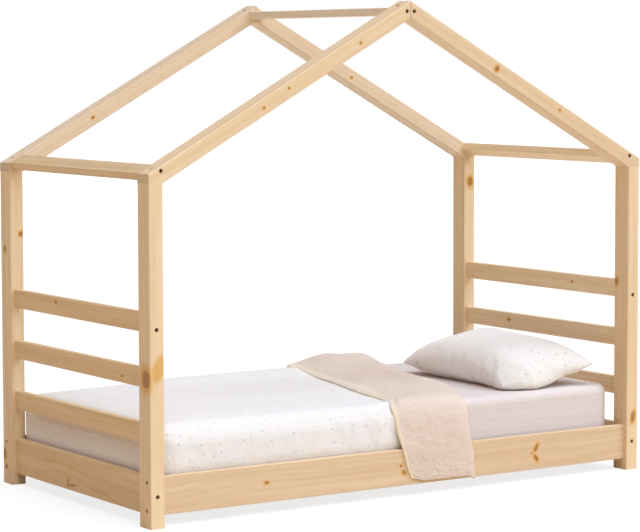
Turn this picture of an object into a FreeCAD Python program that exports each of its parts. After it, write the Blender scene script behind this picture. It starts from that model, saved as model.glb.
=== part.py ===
"""House frame bed for a child: four posts, a pitched roof frame, board ends and bedding.

Lengths are in millimetres. X runs along the bed, Y across it and Z up. The origin is
on the floor, midway between the four posts. The long front side faces -Y.
"""

import FreeCAD, Part
import math
import os

Vec = FreeCAD.Vector

# ---------------------------------------------------------------- driving dimensions

# Frame, over the outer faces of the posts.
BED_LENGTH = 1660.0
BED_WIDTH = 860.0
POST_ALONG_X = 42.0
POST_ALONG_Y = 60.0
POST_HEIGHT = 900.0
POST_EDGE_ROUND = 3.0

# Roof: the rafters are plumb cut flush with the posts and mitred at the apex.
EAVES_HEIGHT = 925.0
APEX_HEIGHT = 1378.0
RAFTER_PLUMB_DEPTH = 48.0
BEAM_WIDTH = 48.0
BEAM_THICKNESS = 22.0
RIDGE_BEAM_TOP = 1360.0

# Boards between the posts, set back from the posts' outer faces.
BOARD_THICKNESS = 18.0
BOARD_SETBACK = 12.0
BOARD_BEVEL = 1.5
RAIL_BOTTOM = 33.0
RAIL_HEIGHT = 102.0
SLAT_HEIGHT = 52.0
SLAT_BOTTOMS = {"low": 220.0, "middle": 365.5, "top": 511.0}

# Slatted base inside the rails.
BED_SLAT_COUNT = 12
BED_SLAT_WIDTH = 70.0
BED_SLAT_THICKNESS = 14.0
BED_SLAT_TOP = 100.0
BED_SLAT_END_GAP = 4.0
FIRST_SLAT_FROM_RAIL = 55.0
LEDGER_WIDTH = 22.0
LEDGER_HEIGHT = 28.0
WEBBING_WIDTH = 25.0
WEBBING_THICKNESS = 1.0
WEBBING_FROM_CENTRE = 290.0

# Furniture bolts with sunk heads, their barrel nuts, fluted dowels and wood screws.
# They are small and mostly hidden, so each is a bar with a few flat sides.
BOLT_WIDTH = 6.0
HEAD_WIDTH = 10.0
HEAD_HEIGHT = 6.0
RECESS_WIDTH = 12.0
RECESS_DEPTH = 10.0
NUT_WIDTH = 10.0
NUT_LENGTH = 14.0
NUT_FROM_JOINT = 35.0
NUT_SKIN = 2.0
BOLT_PAST_NUT = 8.0
RAIL_BOLT_SPREAD = 37.0
SLAT_BOLT_RISE = 10.0
DOWEL_WIDTH = 8.0
DOWEL_LENGTH = 30.0
SCREW_WIDTH = 4.0
SCREW_HEAD_WIDTH = 8.0
SCREW_HEAD_DEPTH = 2.0
SCREW_LENGTH = 32.0
CLEARANCE = 0.1
RECESS_SIDES = 10
NUT_SIDES = 8
SHANK_SIDES = 6

# Mattress for an 80 x 160 cm frame, in a fitted sheet.
MATTRESS_LEFT = -785.0
MATTRESS_RIGHT = 770.0
MATTRESS_HALF_WIDTH = 388.0
MATTRESS_BOTTOM = 101.9
MATTRESS_TOP = 252.0
MATTRESS_CORNER = 62.0
MATTRESS_TOP_ROUND = 24.0
MATTRESS_BOTTOM_BEVEL = 10.0
SHEET_GAP = 0.2
SHEET_THICKNESS = 1.4
SHEET_TUCK = 70.0
SOFT_CLEARANCE = 0.5

# Duvet: a thin quilt over the foot end, tucked inside the rails.
DUVET_LEFT = -793.0
DUVET_HALF_WIDTH = 402.0
DUVET_CORNER = 84.0
DUVET_BOTTOM = 118.0
DUVET_TOP = 262.0
DUVET_RISE_TO_HEAD = 3.0
SIDE_FOLDS = 7
FOOT_FOLDS = 4
POINTS_PER_FOLD = 4
CORNER_STEPS = 5

# The duvet's head end is folded back and hangs over the front rail.
HANG_BOTTOM = 42.0
HANG_THICKNESS = 11.3
FOLD_BOTTOM = 256.0
FOLD_HEM = 18.0
FOLD_COVER = 14.0

# Pillow, 55 x 35 cm before filling.
PILLOW_LENGTH = 532.0
PILLOW_DEPTH = 320.0
PILLOW_HEIGHT = 115.0
PILLOW_SEAM_SHARE = 0.2
PILLOW_DRAWN_IN = 15.0
PILLOW_CROWN_PULL = 0.76
PILLOW_CENTRE = (553.0, -109.0)
PILLOW_TURN = 1.2
PILLOW_LEAN = 8.7
PILLOW_ROLL = 2.3
PILLOW_SIDE_STEPS = 10

# ---------------------------------------------------------------- worked-out dimensions

X_OUT = BED_LENGTH / 2
Y_OUT = BED_WIDTH / 2
X_IN = X_OUT - POST_ALONG_X
Y_IN = Y_OUT - POST_ALONG_Y
BOARD_X_OUT = X_OUT - BOARD_SETBACK
BOARD_Y_OUT = Y_OUT - BOARD_SETBACK
BOARD_X_IN = BOARD_X_OUT - BOARD_THICKNESS
BOARD_Y_IN = BOARD_Y_OUT - BOARD_THICKNESS
BOARD_X = (BOARD_X_OUT + BOARD_X_IN) / 2
BOARD_Y = (BOARD_Y_OUT + BOARD_Y_IN) / 2
POST_Y = (Y_OUT + Y_IN) / 2
RAIL_TOP = RAIL_BOTTOM + RAIL_HEIGHT
RAIL_MIDDLE = RAIL_BOTTOM + RAIL_HEIGHT / 2
BED_SLAT_BOTTOM = BED_SLAT_TOP - BED_SLAT_THICKNESS
ROOF_SLOPE = (APEX_HEIGHT - EAVES_HEIGHT) / X_OUT
ROOF_ANGLE = math.atan(ROOF_SLOPE)
ENDS = {"left": -1, "right": 1}
SIDES = {"front": -1, "back": 1}


def roof_height(x):
    """Height of the rafters' top faces at a distance x from the middle."""
    return APEX_HEIGHT - ROOF_SLOPE * abs(x)


# ---------------------------------------------------------------- small helpers


def span_box(x_span, y_span, z_span):
    """A box between two values on each axis, in either order."""
    low = [min(span) for span in (x_span, y_span, z_span)]
    size = [abs(span[1] - span[0]) for span in (x_span, y_span, z_span)]
    return Part.makeBox(*size, Vec(*low))


def long_edges(shape, axis):
    """The edges that run along one axis."""
    found = []
    for edge in shape.Edges:
        run = edge.Vertexes[1].Point - edge.Vertexes[0].Point
        if abs(abs(run.normalize().dot(axis)) - 1) < 0.001:
            found.append(edge)
    return found


def board(x_span, y_span, z_span, axis):
    """A planed board whose long edges are bevelled."""
    blank = span_box(x_span, y_span, z_span)
    return blank.makeChamfer(BOARD_BEVEL, long_edges(blank, axis))


def save(node, shape):
    shape.exportStep("parts/" + node + ".step")
    print(node, len(shape.Solids), "solids, valid", shape.isValid())


# ---------------------------------------------------------------- fasteners


def prism(sides, across, start, axis, length):
    """A straight bar with a few flat sides, whose corners lie on a circle."""
    turn = FreeCAD.Rotation(Vec(0, 0, 1), axis)
    corners = []
    for step in range(sides + 1):
        angle = 2 * math.pi * (step % sides) / sides
        corner = Vec(across / 2 * math.cos(angle), across / 2 * math.sin(angle), 0)
        corners.append(start + turn.multVec(corner))
    return Part.Face(Part.makePolygon(corners)).extrude(axis * length)


def bolt(seat, axis, length):
    """A cap-head bolt: its head sits on the seat and the shank runs along the axis."""
    head = prism(NUT_SIDES, HEAD_WIDTH, seat, axis * -1, HEAD_HEIGHT)
    shank = prism(SHANK_SIDES, BOLT_WIDTH, seat, axis, length)
    return head.fuse(shank).removeSplitter()


def bolt_hole(seat, axis, length, recess=RECESS_DEPTH):
    """The recess for the head and the clearance hole for the shank."""
    mouth = prism(RECESS_SIDES, RECESS_WIDTH, seat, axis * -1, recess * 2)
    bore = prism(SHANK_SIDES, BOLT_WIDTH + 2 * CLEARANCE, seat, axis, length + CLEARANCE)
    return mouth.fuse(bore).removeSplitter()


def barrel_nut(centre, axis, bolt_axis):
    """A cross dowel lying along its own axis, drilled through for the bolt."""
    nut = prism(NUT_SIDES, NUT_WIDTH, centre - axis * (NUT_LENGTH / 2), axis, NUT_LENGTH)
    start = centre - bolt_axis * NUT_WIDTH
    hole = prism(SHANK_SIDES, BOLT_WIDTH + CLEARANCE, start, bolt_axis, 2 * NUT_WIDTH)
    return nut.cut(hole)


def nut_hole(centre, axis):
    """A blind hole for a barrel nut, open on the board's inner face."""
    depth = BOARD_THICKNESS - NUT_SKIN
    start = centre + axis * (BOARD_THICKNESS / 2 + 1)
    return prism(NUT_SIDES, NUT_WIDTH + 2 * CLEARANCE, start, axis * -1, depth + 1)


def dowel(centre, axis, clearance=0.0):
    """A fluted dowel, half in each piece; with a clearance, the hole that takes it."""
    length = DOWEL_LENGTH + 2 * clearance
    start = centre - axis * (length / 2)
    return prism(SHANK_SIDES, DOWEL_WIDTH + 2 * clearance, start, axis, length)


def wood_screw(seat, axis, length, clearance=0.0):
    """A flat-head screw let into the face, so that its head is flush with it."""
    width = 2 * clearance
    head = prism(SHANK_SIDES, SCREW_HEAD_WIDTH + width, seat, axis, SCREW_HEAD_DEPTH)
    shank = prism(SHANK_SIDES, SCREW_WIDTH + width, seat, axis, length + clearance)
    return head.fuse(shank).removeSplitter()


class Joinery:
    """Collects the fasteners by node, and the holes that they need in the timber."""

    def __init__(self):
        self.pieces = {}
        self.holes = []

    def add(self, node, piece, hole):
        self.pieces.setdefault(node, []).append(piece)
        self.holes.append(hole)

    def add_bolt(self, node, seat, axis, length, recess=RECESS_DEPTH):
        self.add(node, bolt(seat, axis, length), bolt_hole(seat, axis, length, recess))

    def add_nut(self, centre, axis, bolt_axis):
        self.add("barrel_nuts", barrel_nut(centre, axis, bolt_axis), nut_hole(centre, axis))

    def add_dowel(self, centre, axis):
        self.add("dowels", dowel(centre, axis), dowel(centre, axis, CLEARANCE))

    def add_screw(self, node, seat, axis, length):
        hole = wood_screw(seat, axis, length, CLEARANCE)
        self.add(node, wood_screw(seat, axis, length), hole)

    def drill(self, timber):
        """Cut every hole that meets this piece of timber."""
        near = [hole for hole in self.holes if hole.BoundBox.intersect(timber.BoundBox)]
        return timber.cut(near) if near else timber


def side_rail_joint(joinery, end, side):
    """Two bolts through a post into the end of a side rail, with a dowel between them."""
    inward = Vec(-end, 0, 0)
    past_post = POST_ALONG_X - RECESS_DEPTH
    length = past_post + NUT_FROM_JOINT + BOLT_PAST_NUT
    for rise in (-RAIL_BOLT_SPREAD, RAIL_BOLT_SPREAD):
        height = RAIL_MIDDLE + rise
        seat = Vec(end * (X_OUT - RECESS_DEPTH), side * BOARD_Y, height)
        joinery.add_bolt("side_rail_bolts", seat, inward, length)
        centre = Vec(end * (X_IN - NUT_FROM_JOINT), side * BOARD_Y, height)
        joinery.add_nut(centre, Vec(0, -side, 0), inward)
    joinery.add_dowel(Vec(end * X_IN, side * BOARD_Y, RAIL_MIDDLE), inward)


def end_board_bolt(joinery, end, side, height):
    """One bolt through a post into the end of an end board."""
    inward = Vec(0, -side, 0)
    length = POST_ALONG_Y - RECESS_DEPTH + NUT_FROM_JOINT + BOLT_PAST_NUT
    seat = Vec(end * BOARD_X, side * (Y_OUT - RECESS_DEPTH), height)
    joinery.add_bolt("end_board_bolts", seat, inward, length)
    centre = Vec(end * BOARD_X, side * (Y_IN - NUT_FROM_JOINT), height)
    joinery.add_nut(centre, Vec(-end, 0, 0), inward)


def end_board_joints(joinery, end, side):
    """The end rail and the three slats where they meet one post."""
    end_board_bolt(joinery, end, side, RAIL_MIDDLE)
    end_board_bolt(joinery, end, side, SLAT_BOTTOMS["top"] + SLAT_BOLT_RISE)
    dowel_heights = [RAIL_MIDDLE - RAIL_HEIGHT * 0.3, RAIL_MIDDLE + RAIL_HEIGHT * 0.3]
    for name in ("low", "middle"):
        dowel_heights += [SLAT_BOTTOMS[name] + SLAT_HEIGHT * part for part in (0.25, 0.75)]
    dowel_heights.append(SLAT_BOTTOMS["top"] + SLAT_HEIGHT * 0.75)
    for height in dowel_heights:
        joinery.add_dowel(Vec(end * BOARD_X, side * Y_IN, height), Vec(0, side, 0))


def eaves_section_point(along_slope, below_face):
    """A point of the right-hand eaves beam's section, from its outer top edge."""
    x = X_OUT - along_slope * math.cos(ROOF_ANGLE) - below_face * math.sin(ROOF_ANGLE)
    z = EAVES_HEIGHT + along_slope * math.sin(ROOF_ANGLE) - below_face * math.cos(ROOF_ANGLE)
    return x, z


def roof_joints(joinery, end, side):
    """The fasteners of one rafter: at its foot, at the eaves beam and at the ridge."""
    inward = Vec(0, -side, 0)
    through_rafter = POST_ALONG_Y - RECESS_DEPTH
    beam_bolt_length = through_rafter + NUT_FROM_JOINT

    bolt_x, bolt_z = eaves_section_point(BEAM_WIDTH * 0.75, BEAM_THICKNESS / 2)
    seat = Vec(end * bolt_x, side * (Y_OUT - RECESS_DEPTH), bolt_z)
    joinery.add_bolt("eaves_beam_bolts", seat, inward, beam_bolt_length)
    dowel_x, dowel_z = eaves_section_point(BEAM_WIDTH * 0.28, BEAM_THICKNESS / 2)
    joinery.add_dowel(Vec(end * dowel_x, side * Y_IN, dowel_z), Vec(0, side, 0))

    foot_x = X_OUT - POST_ALONG_X * 0.57
    foot_seat = Vec(end * foot_x, side * POST_Y, roof_height(foot_x) - RECESS_DEPTH)
    joinery.add_bolt("rafter_foot_bolts", foot_seat, Vec(0, 0, -1), 70.0, RECESS_DEPTH * 1.5)

    ridge_x = BEAM_WIDTH / 4
    ridge_z = RIDGE_BEAM_TOP - BEAM_THICKNESS / 2
    seat = Vec(end * ridge_x, side * (Y_OUT - RECESS_DEPTH), ridge_z)
    joinery.add_bolt("ridge_beam_bolts", seat, inward, beam_bolt_length)


def apex_joint(joinery, side):
    """The bolt that draws a gable's two rafters together across the mitre."""
    fall = math.radians(6)
    axis = Vec(math.cos(fall), 0, -math.sin(fall))
    mouth = Vec(-27.0, side * POST_Y, roof_height(27.0))
    joinery.add_bolt("apex_bolts", mouth + axis * 12, axis, 35.0, 20.0)


def ledger_screws(joinery, side, count=6):
    """The screws that hold a ledger to the inside of its side rail."""
    for index in range(count):
        x = -X_IN + 60 + index * (2 * X_IN - 120) / (count - 1)
        seat = Vec(x, side * (BOARD_Y_IN - LEDGER_WIDTH), BED_SLAT_BOTTOM - LEDGER_HEIGHT * 0.6)
        joinery.add_screw("ledger_screws", seat, Vec(0, side, 0), SCREW_LENGTH)


def bed_slat_screws(joinery):
    """The first and last bed slats are screwed down to the ledgers."""
    for x in (bed_slat_x(0), bed_slat_x(BED_SLAT_COUNT - 1)):
        for side in SIDES.values():
            seat = Vec(x, side * (BOARD_Y_IN - LEDGER_WIDTH / 2), BED_SLAT_TOP)
            joinery.add_screw("bed_slat_screws", seat, Vec(0, 0, -1), SCREW_LENGTH - 2)


def all_joinery():
    joinery = Joinery()
    for end in ENDS.values():
        for side in SIDES.values():
            side_rail_joint(joinery, end, side)
            end_board_joints(joinery, end, side)
            roof_joints(joinery, end, side)
    for side in SIDES.values():
        apex_joint(joinery, side)
        ledger_screws(joinery, side)
    bed_slat_screws(joinery)
    return joinery


# ---------------------------------------------------------------- timber


def post(end, side):
    blank = span_box((end * X_IN, end * X_OUT), (side * Y_IN, side * Y_OUT), (0, POST_HEIGHT))
    return blank.makeFillet(POST_EDGE_ROUND, long_edges(blank, Vec(0, 0, 1)))


def rafter(end, side):
    """A rafter seated on its post, plumb cut at the eaves and mitred at the apex."""
    apex_bottom = APEX_HEIGHT - RAFTER_PLUMB_DEPTH
    seat_inner_x = (apex_bottom - POST_HEIGHT) / ROOF_SLOPE
    outline = [
        (X_OUT, POST_HEIGHT),
        (X_OUT, EAVES_HEIGHT),
        (0, APEX_HEIGHT),
        (0, apex_bottom),
        (seat_inner_x, POST_HEIGHT),
    ]
    points = [Vec(end * x, side * Y_IN, z) for x, z in outline]
    face = Part.Face(Part.makePolygon(points + points[:1]))
    blank = face.extrude(Vec(0, side * POST_ALONG_Y, 0))
    run = Vec(-end, 0, ROOF_SLOPE).normalize()
    return blank.makeFillet(POST_EDGE_ROUND, long_edges(blank, run))


def eaves_beam(end):
    """A beam between the gables, tilted so that its top lies in the roof plane."""
    section = [(0, 0), (BEAM_WIDTH, 0), (BEAM_WIDTH, BEAM_THICKNESS), (0, BEAM_THICKNESS)]
    corners = [eaves_section_point(*corner) for corner in section]
    points = [Vec(end * x, -Y_IN, z) for x, z in corners]
    face = Part.Face(Part.makePolygon(points + points[:1]))
    blank = face.extrude(Vec(0, 2 * Y_IN, 0))
    return blank.makeChamfer(BOARD_BEVEL, long_edges(blank, Vec(0, 1, 0)))


def ridge_beam():
    half = BEAM_WIDTH / 2
    heights = (RIDGE_BEAM_TOP - BEAM_THICKNESS, RIDGE_BEAM_TOP)
    return board((-half, half), (-Y_IN, Y_IN), heights, Vec(0, 1, 0))


def end_board(end, bottom, height):
    """An end rail or slat, between the two posts of one end."""
    x_span = (end * BOARD_X_IN, end * BOARD_X_OUT)
    return board(x_span, (-Y_IN, Y_IN), (bottom, bottom + height), Vec(0, 1, 0))


def side_rail(side):
    y_span = (side * BOARD_Y_IN, side * BOARD_Y_OUT)
    return board((-X_IN, X_IN), y_span, (RAIL_BOTTOM, RAIL_TOP), Vec(1, 0, 0))


def slat_ledger(side):
    y_span = (side * BOARD_Y_IN, side * (BOARD_Y_IN - LEDGER_WIDTH))
    z_span = (BED_SLAT_BOTTOM - LEDGER_HEIGHT, BED_SLAT_BOTTOM)
    return span_box((-X_IN + 2, X_IN - 2), y_span, z_span)


def bed_slat_x(index):
    """Middle of a bed slat, counted from the left end."""
    first = -BOARD_X_IN + FIRST_SLAT_FROM_RAIL
    return first + index * (-2 * first) / (BED_SLAT_COUNT - 1)


def bed_slat(index):
    x = bed_slat_x(index)
    half_length = BOARD_Y_IN - BED_SLAT_END_GAP
    return board(
        (x - BED_SLAT_WIDTH / 2, x + BED_SLAT_WIDTH / 2),
        (-half_length, half_length),
        (BED_SLAT_BOTTOM, BED_SLAT_TOP),
        Vec(0, 1, 0),
    )


def slat_webbing(side):
    """A strap stapled under the slats, which keeps their spacing."""
    reach = abs(bed_slat_x(0)) + BED_SLAT_WIDTH / 2
    centre = side * WEBBING_FROM_CENTRE
    return span_box(
        (-reach, reach),
        (centre - WEBBING_WIDTH / 2, centre + WEBBING_WIDTH / 2),
        (BED_SLAT_BOTTOM - WEBBING_THICKNESS, BED_SLAT_BOTTOM),
    )


# ---------------------------------------------------------------- soft pieces


def closed(points):
    return Part.makePolygon(points + points[:1])


def quarter_round(x, y, radius, start_degrees, z):
    """Points along a quarter circle, both ends included."""
    points = []
    for step in range(CORNER_STEPS + 1):
        angle = math.radians(start_degrees + 90 * step / CORNER_STEPS)
        points.append(Vec(x + radius * math.cos(angle), y + radius * math.sin(angle), z))
    return points


def mattress_form(grow=0.0):
    """The foam block with its rounded corners and top, or the same form grown all round."""
    bottom = MATTRESS_BOTTOM - grow
    top = MATTRESS_TOP + grow
    levels = [(bottom, MATTRESS_BOTTOM_BEVEL), (bottom + MATTRESS_BOTTOM_BEVEL, 0.0)]
    for step in range(CORNER_STEPS + 1):
        angle = math.radians(90 * step / CORNER_STEPS)
        drop = MATTRESS_TOP_ROUND * (1 - math.sin(angle))
        levels.append((top - drop, MATTRESS_TOP_ROUND * (1 - math.cos(angle))))
    wires = []
    for z, inset in levels:
        radius = MATTRESS_CORNER + grow - inset
        left = MATTRESS_LEFT - grow + inset + radius
        right = MATTRESS_RIGHT + grow - inset - radius
        back = MATTRESS_HALF_WIDTH + grow - inset - radius
        points = quarter_round(right, back, radius, 0, z)
        points += quarter_round(left, back, radius, 90, z)
        points += quarter_round(left, -back, radius, 180, z)
        points += quarter_round(right, -back, radius, 270, z)
        wires.append(closed(points))
    return Part.makeLoft(wires, True, True)


def fitted_sheet():
    """A thin cover on the top and sides, with its elastic hem tucked underneath."""
    shell = mattress_form(SHEET_GAP + SHEET_THICKNESS).cut(mattress_form(SHEET_GAP))
    opening = span_box(
        (MATTRESS_LEFT + SHEET_TUCK, MATTRESS_RIGHT - SHEET_TUCK),
        (-MATTRESS_HALF_WIDTH + SHEET_TUCK, MATTRESS_HALF_WIDTH - SHEET_TUCK),
        (MATTRESS_BOTTOM - 5, MATTRESS_BOTTOM + 2),
    )
    return shell.cut(opening)


def scallops(start, end, count, bow):
    """Points along a row of shallow folds that bow out to the right of the way it runs."""
    run = end - start
    outward = Vec(run.y, -run.x, 0).normalize()
    points = []
    for step in range(count * POINTS_PER_FOLD):
        part = step / (count * POINTS_PER_FOLD)
        swell = bow * math.sin(math.pi * count * part) ** 2
        points.append(start + run * part + outward * swell)
    return points


def fold_crease_x(y):
    """Where the duvet's head end is creased, which slants across the bed."""
    return 330.0 + 0.2 * y


def duvet_outline(z, inset, bow, rise):
    """One level of the duvet: scalloped front, foot and back edges, and a slanted head edge."""
    left = DUVET_LEFT + inset
    half = DUVET_HALF_WIDTH - inset
    radius = DUVET_CORNER - inset * 0.5
    front_start = Vec(left + radius, -half, z)
    front_end = Vec(fold_crease_x(-half) - FOLD_COVER, -half, z)
    back_start = Vec(fold_crease_x(half) - FOLD_COVER, half, z)
    back_end = Vec(left + radius, half, z)
    foot_start = Vec(left, half - radius, z)
    foot_end = Vec(left, -half + radius, z)

    points = scallops(front_start, front_end, SIDE_FOLDS, bow) + [front_end]
    points += scallops(back_start, back_end, SIDE_FOLDS, bow)
    points += quarter_round(left + radius, half - radius, radius, 90, z)[:-1]
    points += scallops(foot_start, foot_end, FOOT_FOLDS, bow)
    points += quarter_round(left + radius, -half + radius, radius, 180, z)[:-1]
    for point in points:
        point.z += rise * (point.x - DUVET_LEFT) / (fold_crease_x(0) - DUVET_LEFT)
    return closed(points)


def duvet_lid():
    """The duvet where it lies flat: one crowned layer over the foot end of the mattress."""
    levels = [
        (DUVET_BOTTOM, 2.0, 3.0, 0.0),
        (185.0, 0.0, 6.0, 0.0),
        (228.0, 2.0, 5.0, 0.2),
        (DUVET_TOP - 18, 9.0, 3.0, 0.6),
        (DUVET_TOP - 9, 20.0, 2.0, 0.9),
        (DUVET_TOP - 4, 40.0, 1.0, 1.0),
        (DUVET_TOP, 130.0, 0.6, 1.0),
    ]
    wires = []
    for z, inset, bow, share in levels:
        wires.append(duvet_outline(z, inset, bow, DUVET_RISE_TO_HEAD * share))
    return Part.makeLoft(wires, True, True)


def fold_section(y, z, lean, hem_x, crease_x, hem, crest, fullness):
    """One section across the turned-back layer.

    It lies in the plane that leans from upright by the given angle, towards the front.
    The layer rises from its hem to the crest, the sooner the fuller it is, and rounds
    over at the crease.
    """
    angle = math.radians(lean)
    outward = Vec(0, -math.sin(angle), math.cos(angle))
    width = crease_x - hem_x
    profile = [(0, 0)]
    for part in (0.0, 0.1, 0.25, 0.45, 0.7):
        profile.append((part, hem + (crest - hem) * (1 - (1 - part / 0.7) ** fullness)))
    profile += [(0.84, crest * 0.93), (0.94, crest * 0.7), (1.0, crest * 0.4), (0.97, crest * 0.1)]
    profile.append((0.9, 0))
    return closed([Vec(hem_x + width * part, y, z) + outward * height for part, height in profile])


def turned_back_layer():
    """The folded-back head end: over the mattress, then down over the front rail."""
    outside_rail = -(BOARD_Y_OUT + SOFT_CLEARANCE)
    thin = HANG_THICKNESS
    sections = [
        fold_section(outside_rail, HANG_BOTTOM, 90, 8, 226, thin * 0.7, thin * 0.8, 2),
        fold_section(outside_rail, HANG_BOTTOM + 12, 90, 3, 226, thin * 0.9, thin, 2),
        fold_section(outside_rail, 90, 90, -8, 222, thin, thin, 2),
        fold_section(outside_rail, RAIL_TOP + 6, 90, -21, 220, thin, thin, 2),
        fold_section(-411, 180, 84, -36, 219, 15, 18, 2),
        fold_section(-404, 220, 72, -44, 222, 16, 20, 2),
        fold_section(-390, FOLD_BOTTOM - 10, 50, -46, 230, 17, 21, 2),
        fold_section(-366, FOLD_BOTTOM, 22, -40, 244, 18, 22, 2),
        fold_section(-320, FOLD_BOTTOM, 4, -28, 266, 18, 22, 2),
        fold_section(-150, FOLD_BOTTOM, 0, 25, 318, 18, 24, 2),
        fold_section(60, FOLD_BOTTOM, 0, 76, 350, 18, 30, 2),
        fold_section(210, FOLD_BOTTOM, 0, 104, 380, 20, 40, 3),
        fold_section(320, FOLD_BOTTOM, 0, 108, 398, 23, 47, 4),
        fold_section(362, FOLD_BOTTOM - 2, -16, 106, 400, 25, 48, 4),
        fold_section(390, FOLD_BOTTOM - 20, -50, 118, 394, 15, 36, 3),
        fold_section(402, 205, -78, 136, 380, 10, 20, 2),
    ]
    return Part.makeLoft(sections, True, True)


def duvet():
    """The whole duvet, hollowed where the mattress lies and clear of the frame."""
    body = duvet_lid().fuse(turned_back_layer())
    gap = SOFT_CLEARANCE
    sheet_outside = SHEET_GAP + SHEET_THICKNESS + gap
    clear_of = [mattress_form(sheet_outside)]
    for side in SIDES.values():
        clear_of.append(
            span_box(
                (-X_IN, X_IN),
                (side * (BOARD_Y_IN - gap), side * (BOARD_Y_OUT + gap)),
                (RAIL_BOTTOM, RAIL_TOP + gap),
            )
        )
        clear_of.append(
            span_box(
                (-X_OUT, -X_IN + gap),
                (side * (Y_IN - gap), side * Y_OUT),
                (0, POST_HEIGHT),
            )
        )
    return body.cut(clear_of).removeSplitter()


def flat_faced(loft):
    """The same solid with a true plane for each of its faces, which are all flat."""
    faces = []
    for face in loft.Faces:
        corners = [vertex.Point for vertex in face.OuterWire.OrderedVertexes]
        faces.append(Part.Face(closed(corners)))
    shell = Part.makeShell(faces)
    shell.sewShape()
    return Part.makeSolid(shell)


def pillow_outline(scale, height):
    """One level of the pillow: four drawn-in sides between blunt corners."""
    half_u = PILLOW_DEPTH / 2 * scale
    half_v = PILLOW_LENGTH / 2 * scale
    sides = [(0, half_u, half_v), (90, half_v, half_u), (180, half_u, half_v), (270, half_v, half_u)]
    points = []
    for turn, out, along in sides:
        turned = FreeCAD.Rotation(Vec(0, 0, 1), turn)
        for step in range(PILLOW_SIDE_STEPS + 1):
            part = 0.96 * (2 * step / PILLOW_SIDE_STEPS - 1)
            drawn_in = PILLOW_DRAWN_IN * (1 - part**2) * scale
            points.append(turned.multVec(Vec(out - drawn_in, along * part, height)))
    return closed(points)


def pillow():
    """A filled pillow: crowned above its seam, flatter below, where it lies, and tilted."""
    seam = PILLOW_HEIGHT * PILLOW_SEAM_SHARE
    above = PILLOW_HEIGHT - seam
    wires = []
    for share in (1.0, 0.5):
        wires.append(pillow_outline(1 - 0.4 * share, seam * (1 - share**0.5)))
    for share in (0.0, 0.15, 0.3, 0.45, 0.6, 0.75, 0.9, 1.0):
        height = seam + above * math.sin(math.pi / 2 * share)
        wires.append(pillow_outline(1 - PILLOW_CROWN_PULL * share**1.5, height))
    solid = flat_faced(Part.makeLoft(wires, True, True))
    solid.rotate(Vec(0, 0, 0), Vec(0, 1, 0), -PILLOW_LEAN)
    solid.rotate(Vec(0, 0, 0), Vec(1, 0, 0), PILLOW_ROLL)
    solid.rotate(Vec(0, 0, 0), Vec(0, 0, 1), PILLOW_TURN)
    lift = MATTRESS_TOP + SHEET_GAP + SHEET_THICKNESS + SOFT_CLEARANCE - solid.BoundBox.ZMin
    solid.translate(Vec(PILLOW_CENTRE[0], PILLOW_CENTRE[1], lift))
    return solid


# ---------------------------------------------------------------- the nodes


def main():
    os.makedirs("parts", exist_ok=True)
    joinery = all_joinery()
    timber = {"ridge_beam": ridge_beam()}
    for side_name, side in SIDES.items():
        timber["side_rail_" + side_name] = side_rail(side)
        timber["slat_ledger_" + side_name] = slat_ledger(side)
        for end_name, end in ENDS.items():
            timber["post_" + side_name + "_" + end_name] = post(end, side)
            timber["rafter_" + side_name + "_" + end_name] = rafter(end, side)
    for end_name, end in ENDS.items():
        timber["eaves_beam_" + end_name] = eaves_beam(end)
        timber["end_rail_" + end_name] = end_board(end, RAIL_BOTTOM, RAIL_HEIGHT)
        for level, bottom in SLAT_BOTTOMS.items():
            node = "end_slat_" + end_name + "_" + level
            timber[node] = end_board(end, bottom, SLAT_HEIGHT)
    for index in range(BED_SLAT_COUNT):
        timber["bed_slat_%02d" % (index + 1)] = bed_slat(index)

    for node, blank in timber.items():
        save(node, joinery.drill(blank))
    for node, pieces in joinery.pieces.items():
        save(node, Part.makeCompound(pieces))
    for side_name, side in SIDES.items():
        save("slat_webbing_" + side_name, slat_webbing(side))
    save("mattress", mattress_form())
    save("fitted_sheet", fitted_sheet())
    save("duvet", duvet())
    save("pillow", pillow())


main()
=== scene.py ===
# %% [markdown]
# # A house frame bed, dressed in Blender
# The bed is a low pine frame shaped like a house, with slatted ends, bolts sunk in its
# timber, and bedding for one child. The timber and its small fittings come from the packed
# model, as fixed pieces. This lesson gives them their finishes, makes the bolts in full,
# and then makes every soft piece: mattress, sheet, duvet with its turned-back end, and
# pillow. All lengths are in metres, and a millimetre has its own short name.

import math

import bmesh
import bpy
from mathutils import Matrix, Vector, noise


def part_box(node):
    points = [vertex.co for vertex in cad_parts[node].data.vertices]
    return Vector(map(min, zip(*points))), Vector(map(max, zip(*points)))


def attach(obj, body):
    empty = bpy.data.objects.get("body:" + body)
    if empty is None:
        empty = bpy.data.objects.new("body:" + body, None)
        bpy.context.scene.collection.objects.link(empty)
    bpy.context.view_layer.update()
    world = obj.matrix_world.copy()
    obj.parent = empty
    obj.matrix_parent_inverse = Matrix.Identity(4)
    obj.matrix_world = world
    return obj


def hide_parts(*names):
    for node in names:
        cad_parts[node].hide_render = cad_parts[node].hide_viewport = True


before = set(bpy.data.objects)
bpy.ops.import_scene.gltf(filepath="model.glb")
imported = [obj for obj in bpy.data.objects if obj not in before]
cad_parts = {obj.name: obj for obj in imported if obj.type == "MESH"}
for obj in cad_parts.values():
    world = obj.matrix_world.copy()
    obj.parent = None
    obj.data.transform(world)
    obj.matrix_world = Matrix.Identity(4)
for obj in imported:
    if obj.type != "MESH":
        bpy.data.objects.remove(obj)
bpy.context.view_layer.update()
MM = 0.001

# %% [markdown]
# ## The camera
# The bed is seen from the front left, from a little above it, through a long lens. A camera
# can be set by eye, but a small error in its turn shows along every long board, so its
# place, its turn and its lens were solved from the straight edges of the frame. The optical
# axis meets the picture above its middle, and the lens shift says so.

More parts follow.
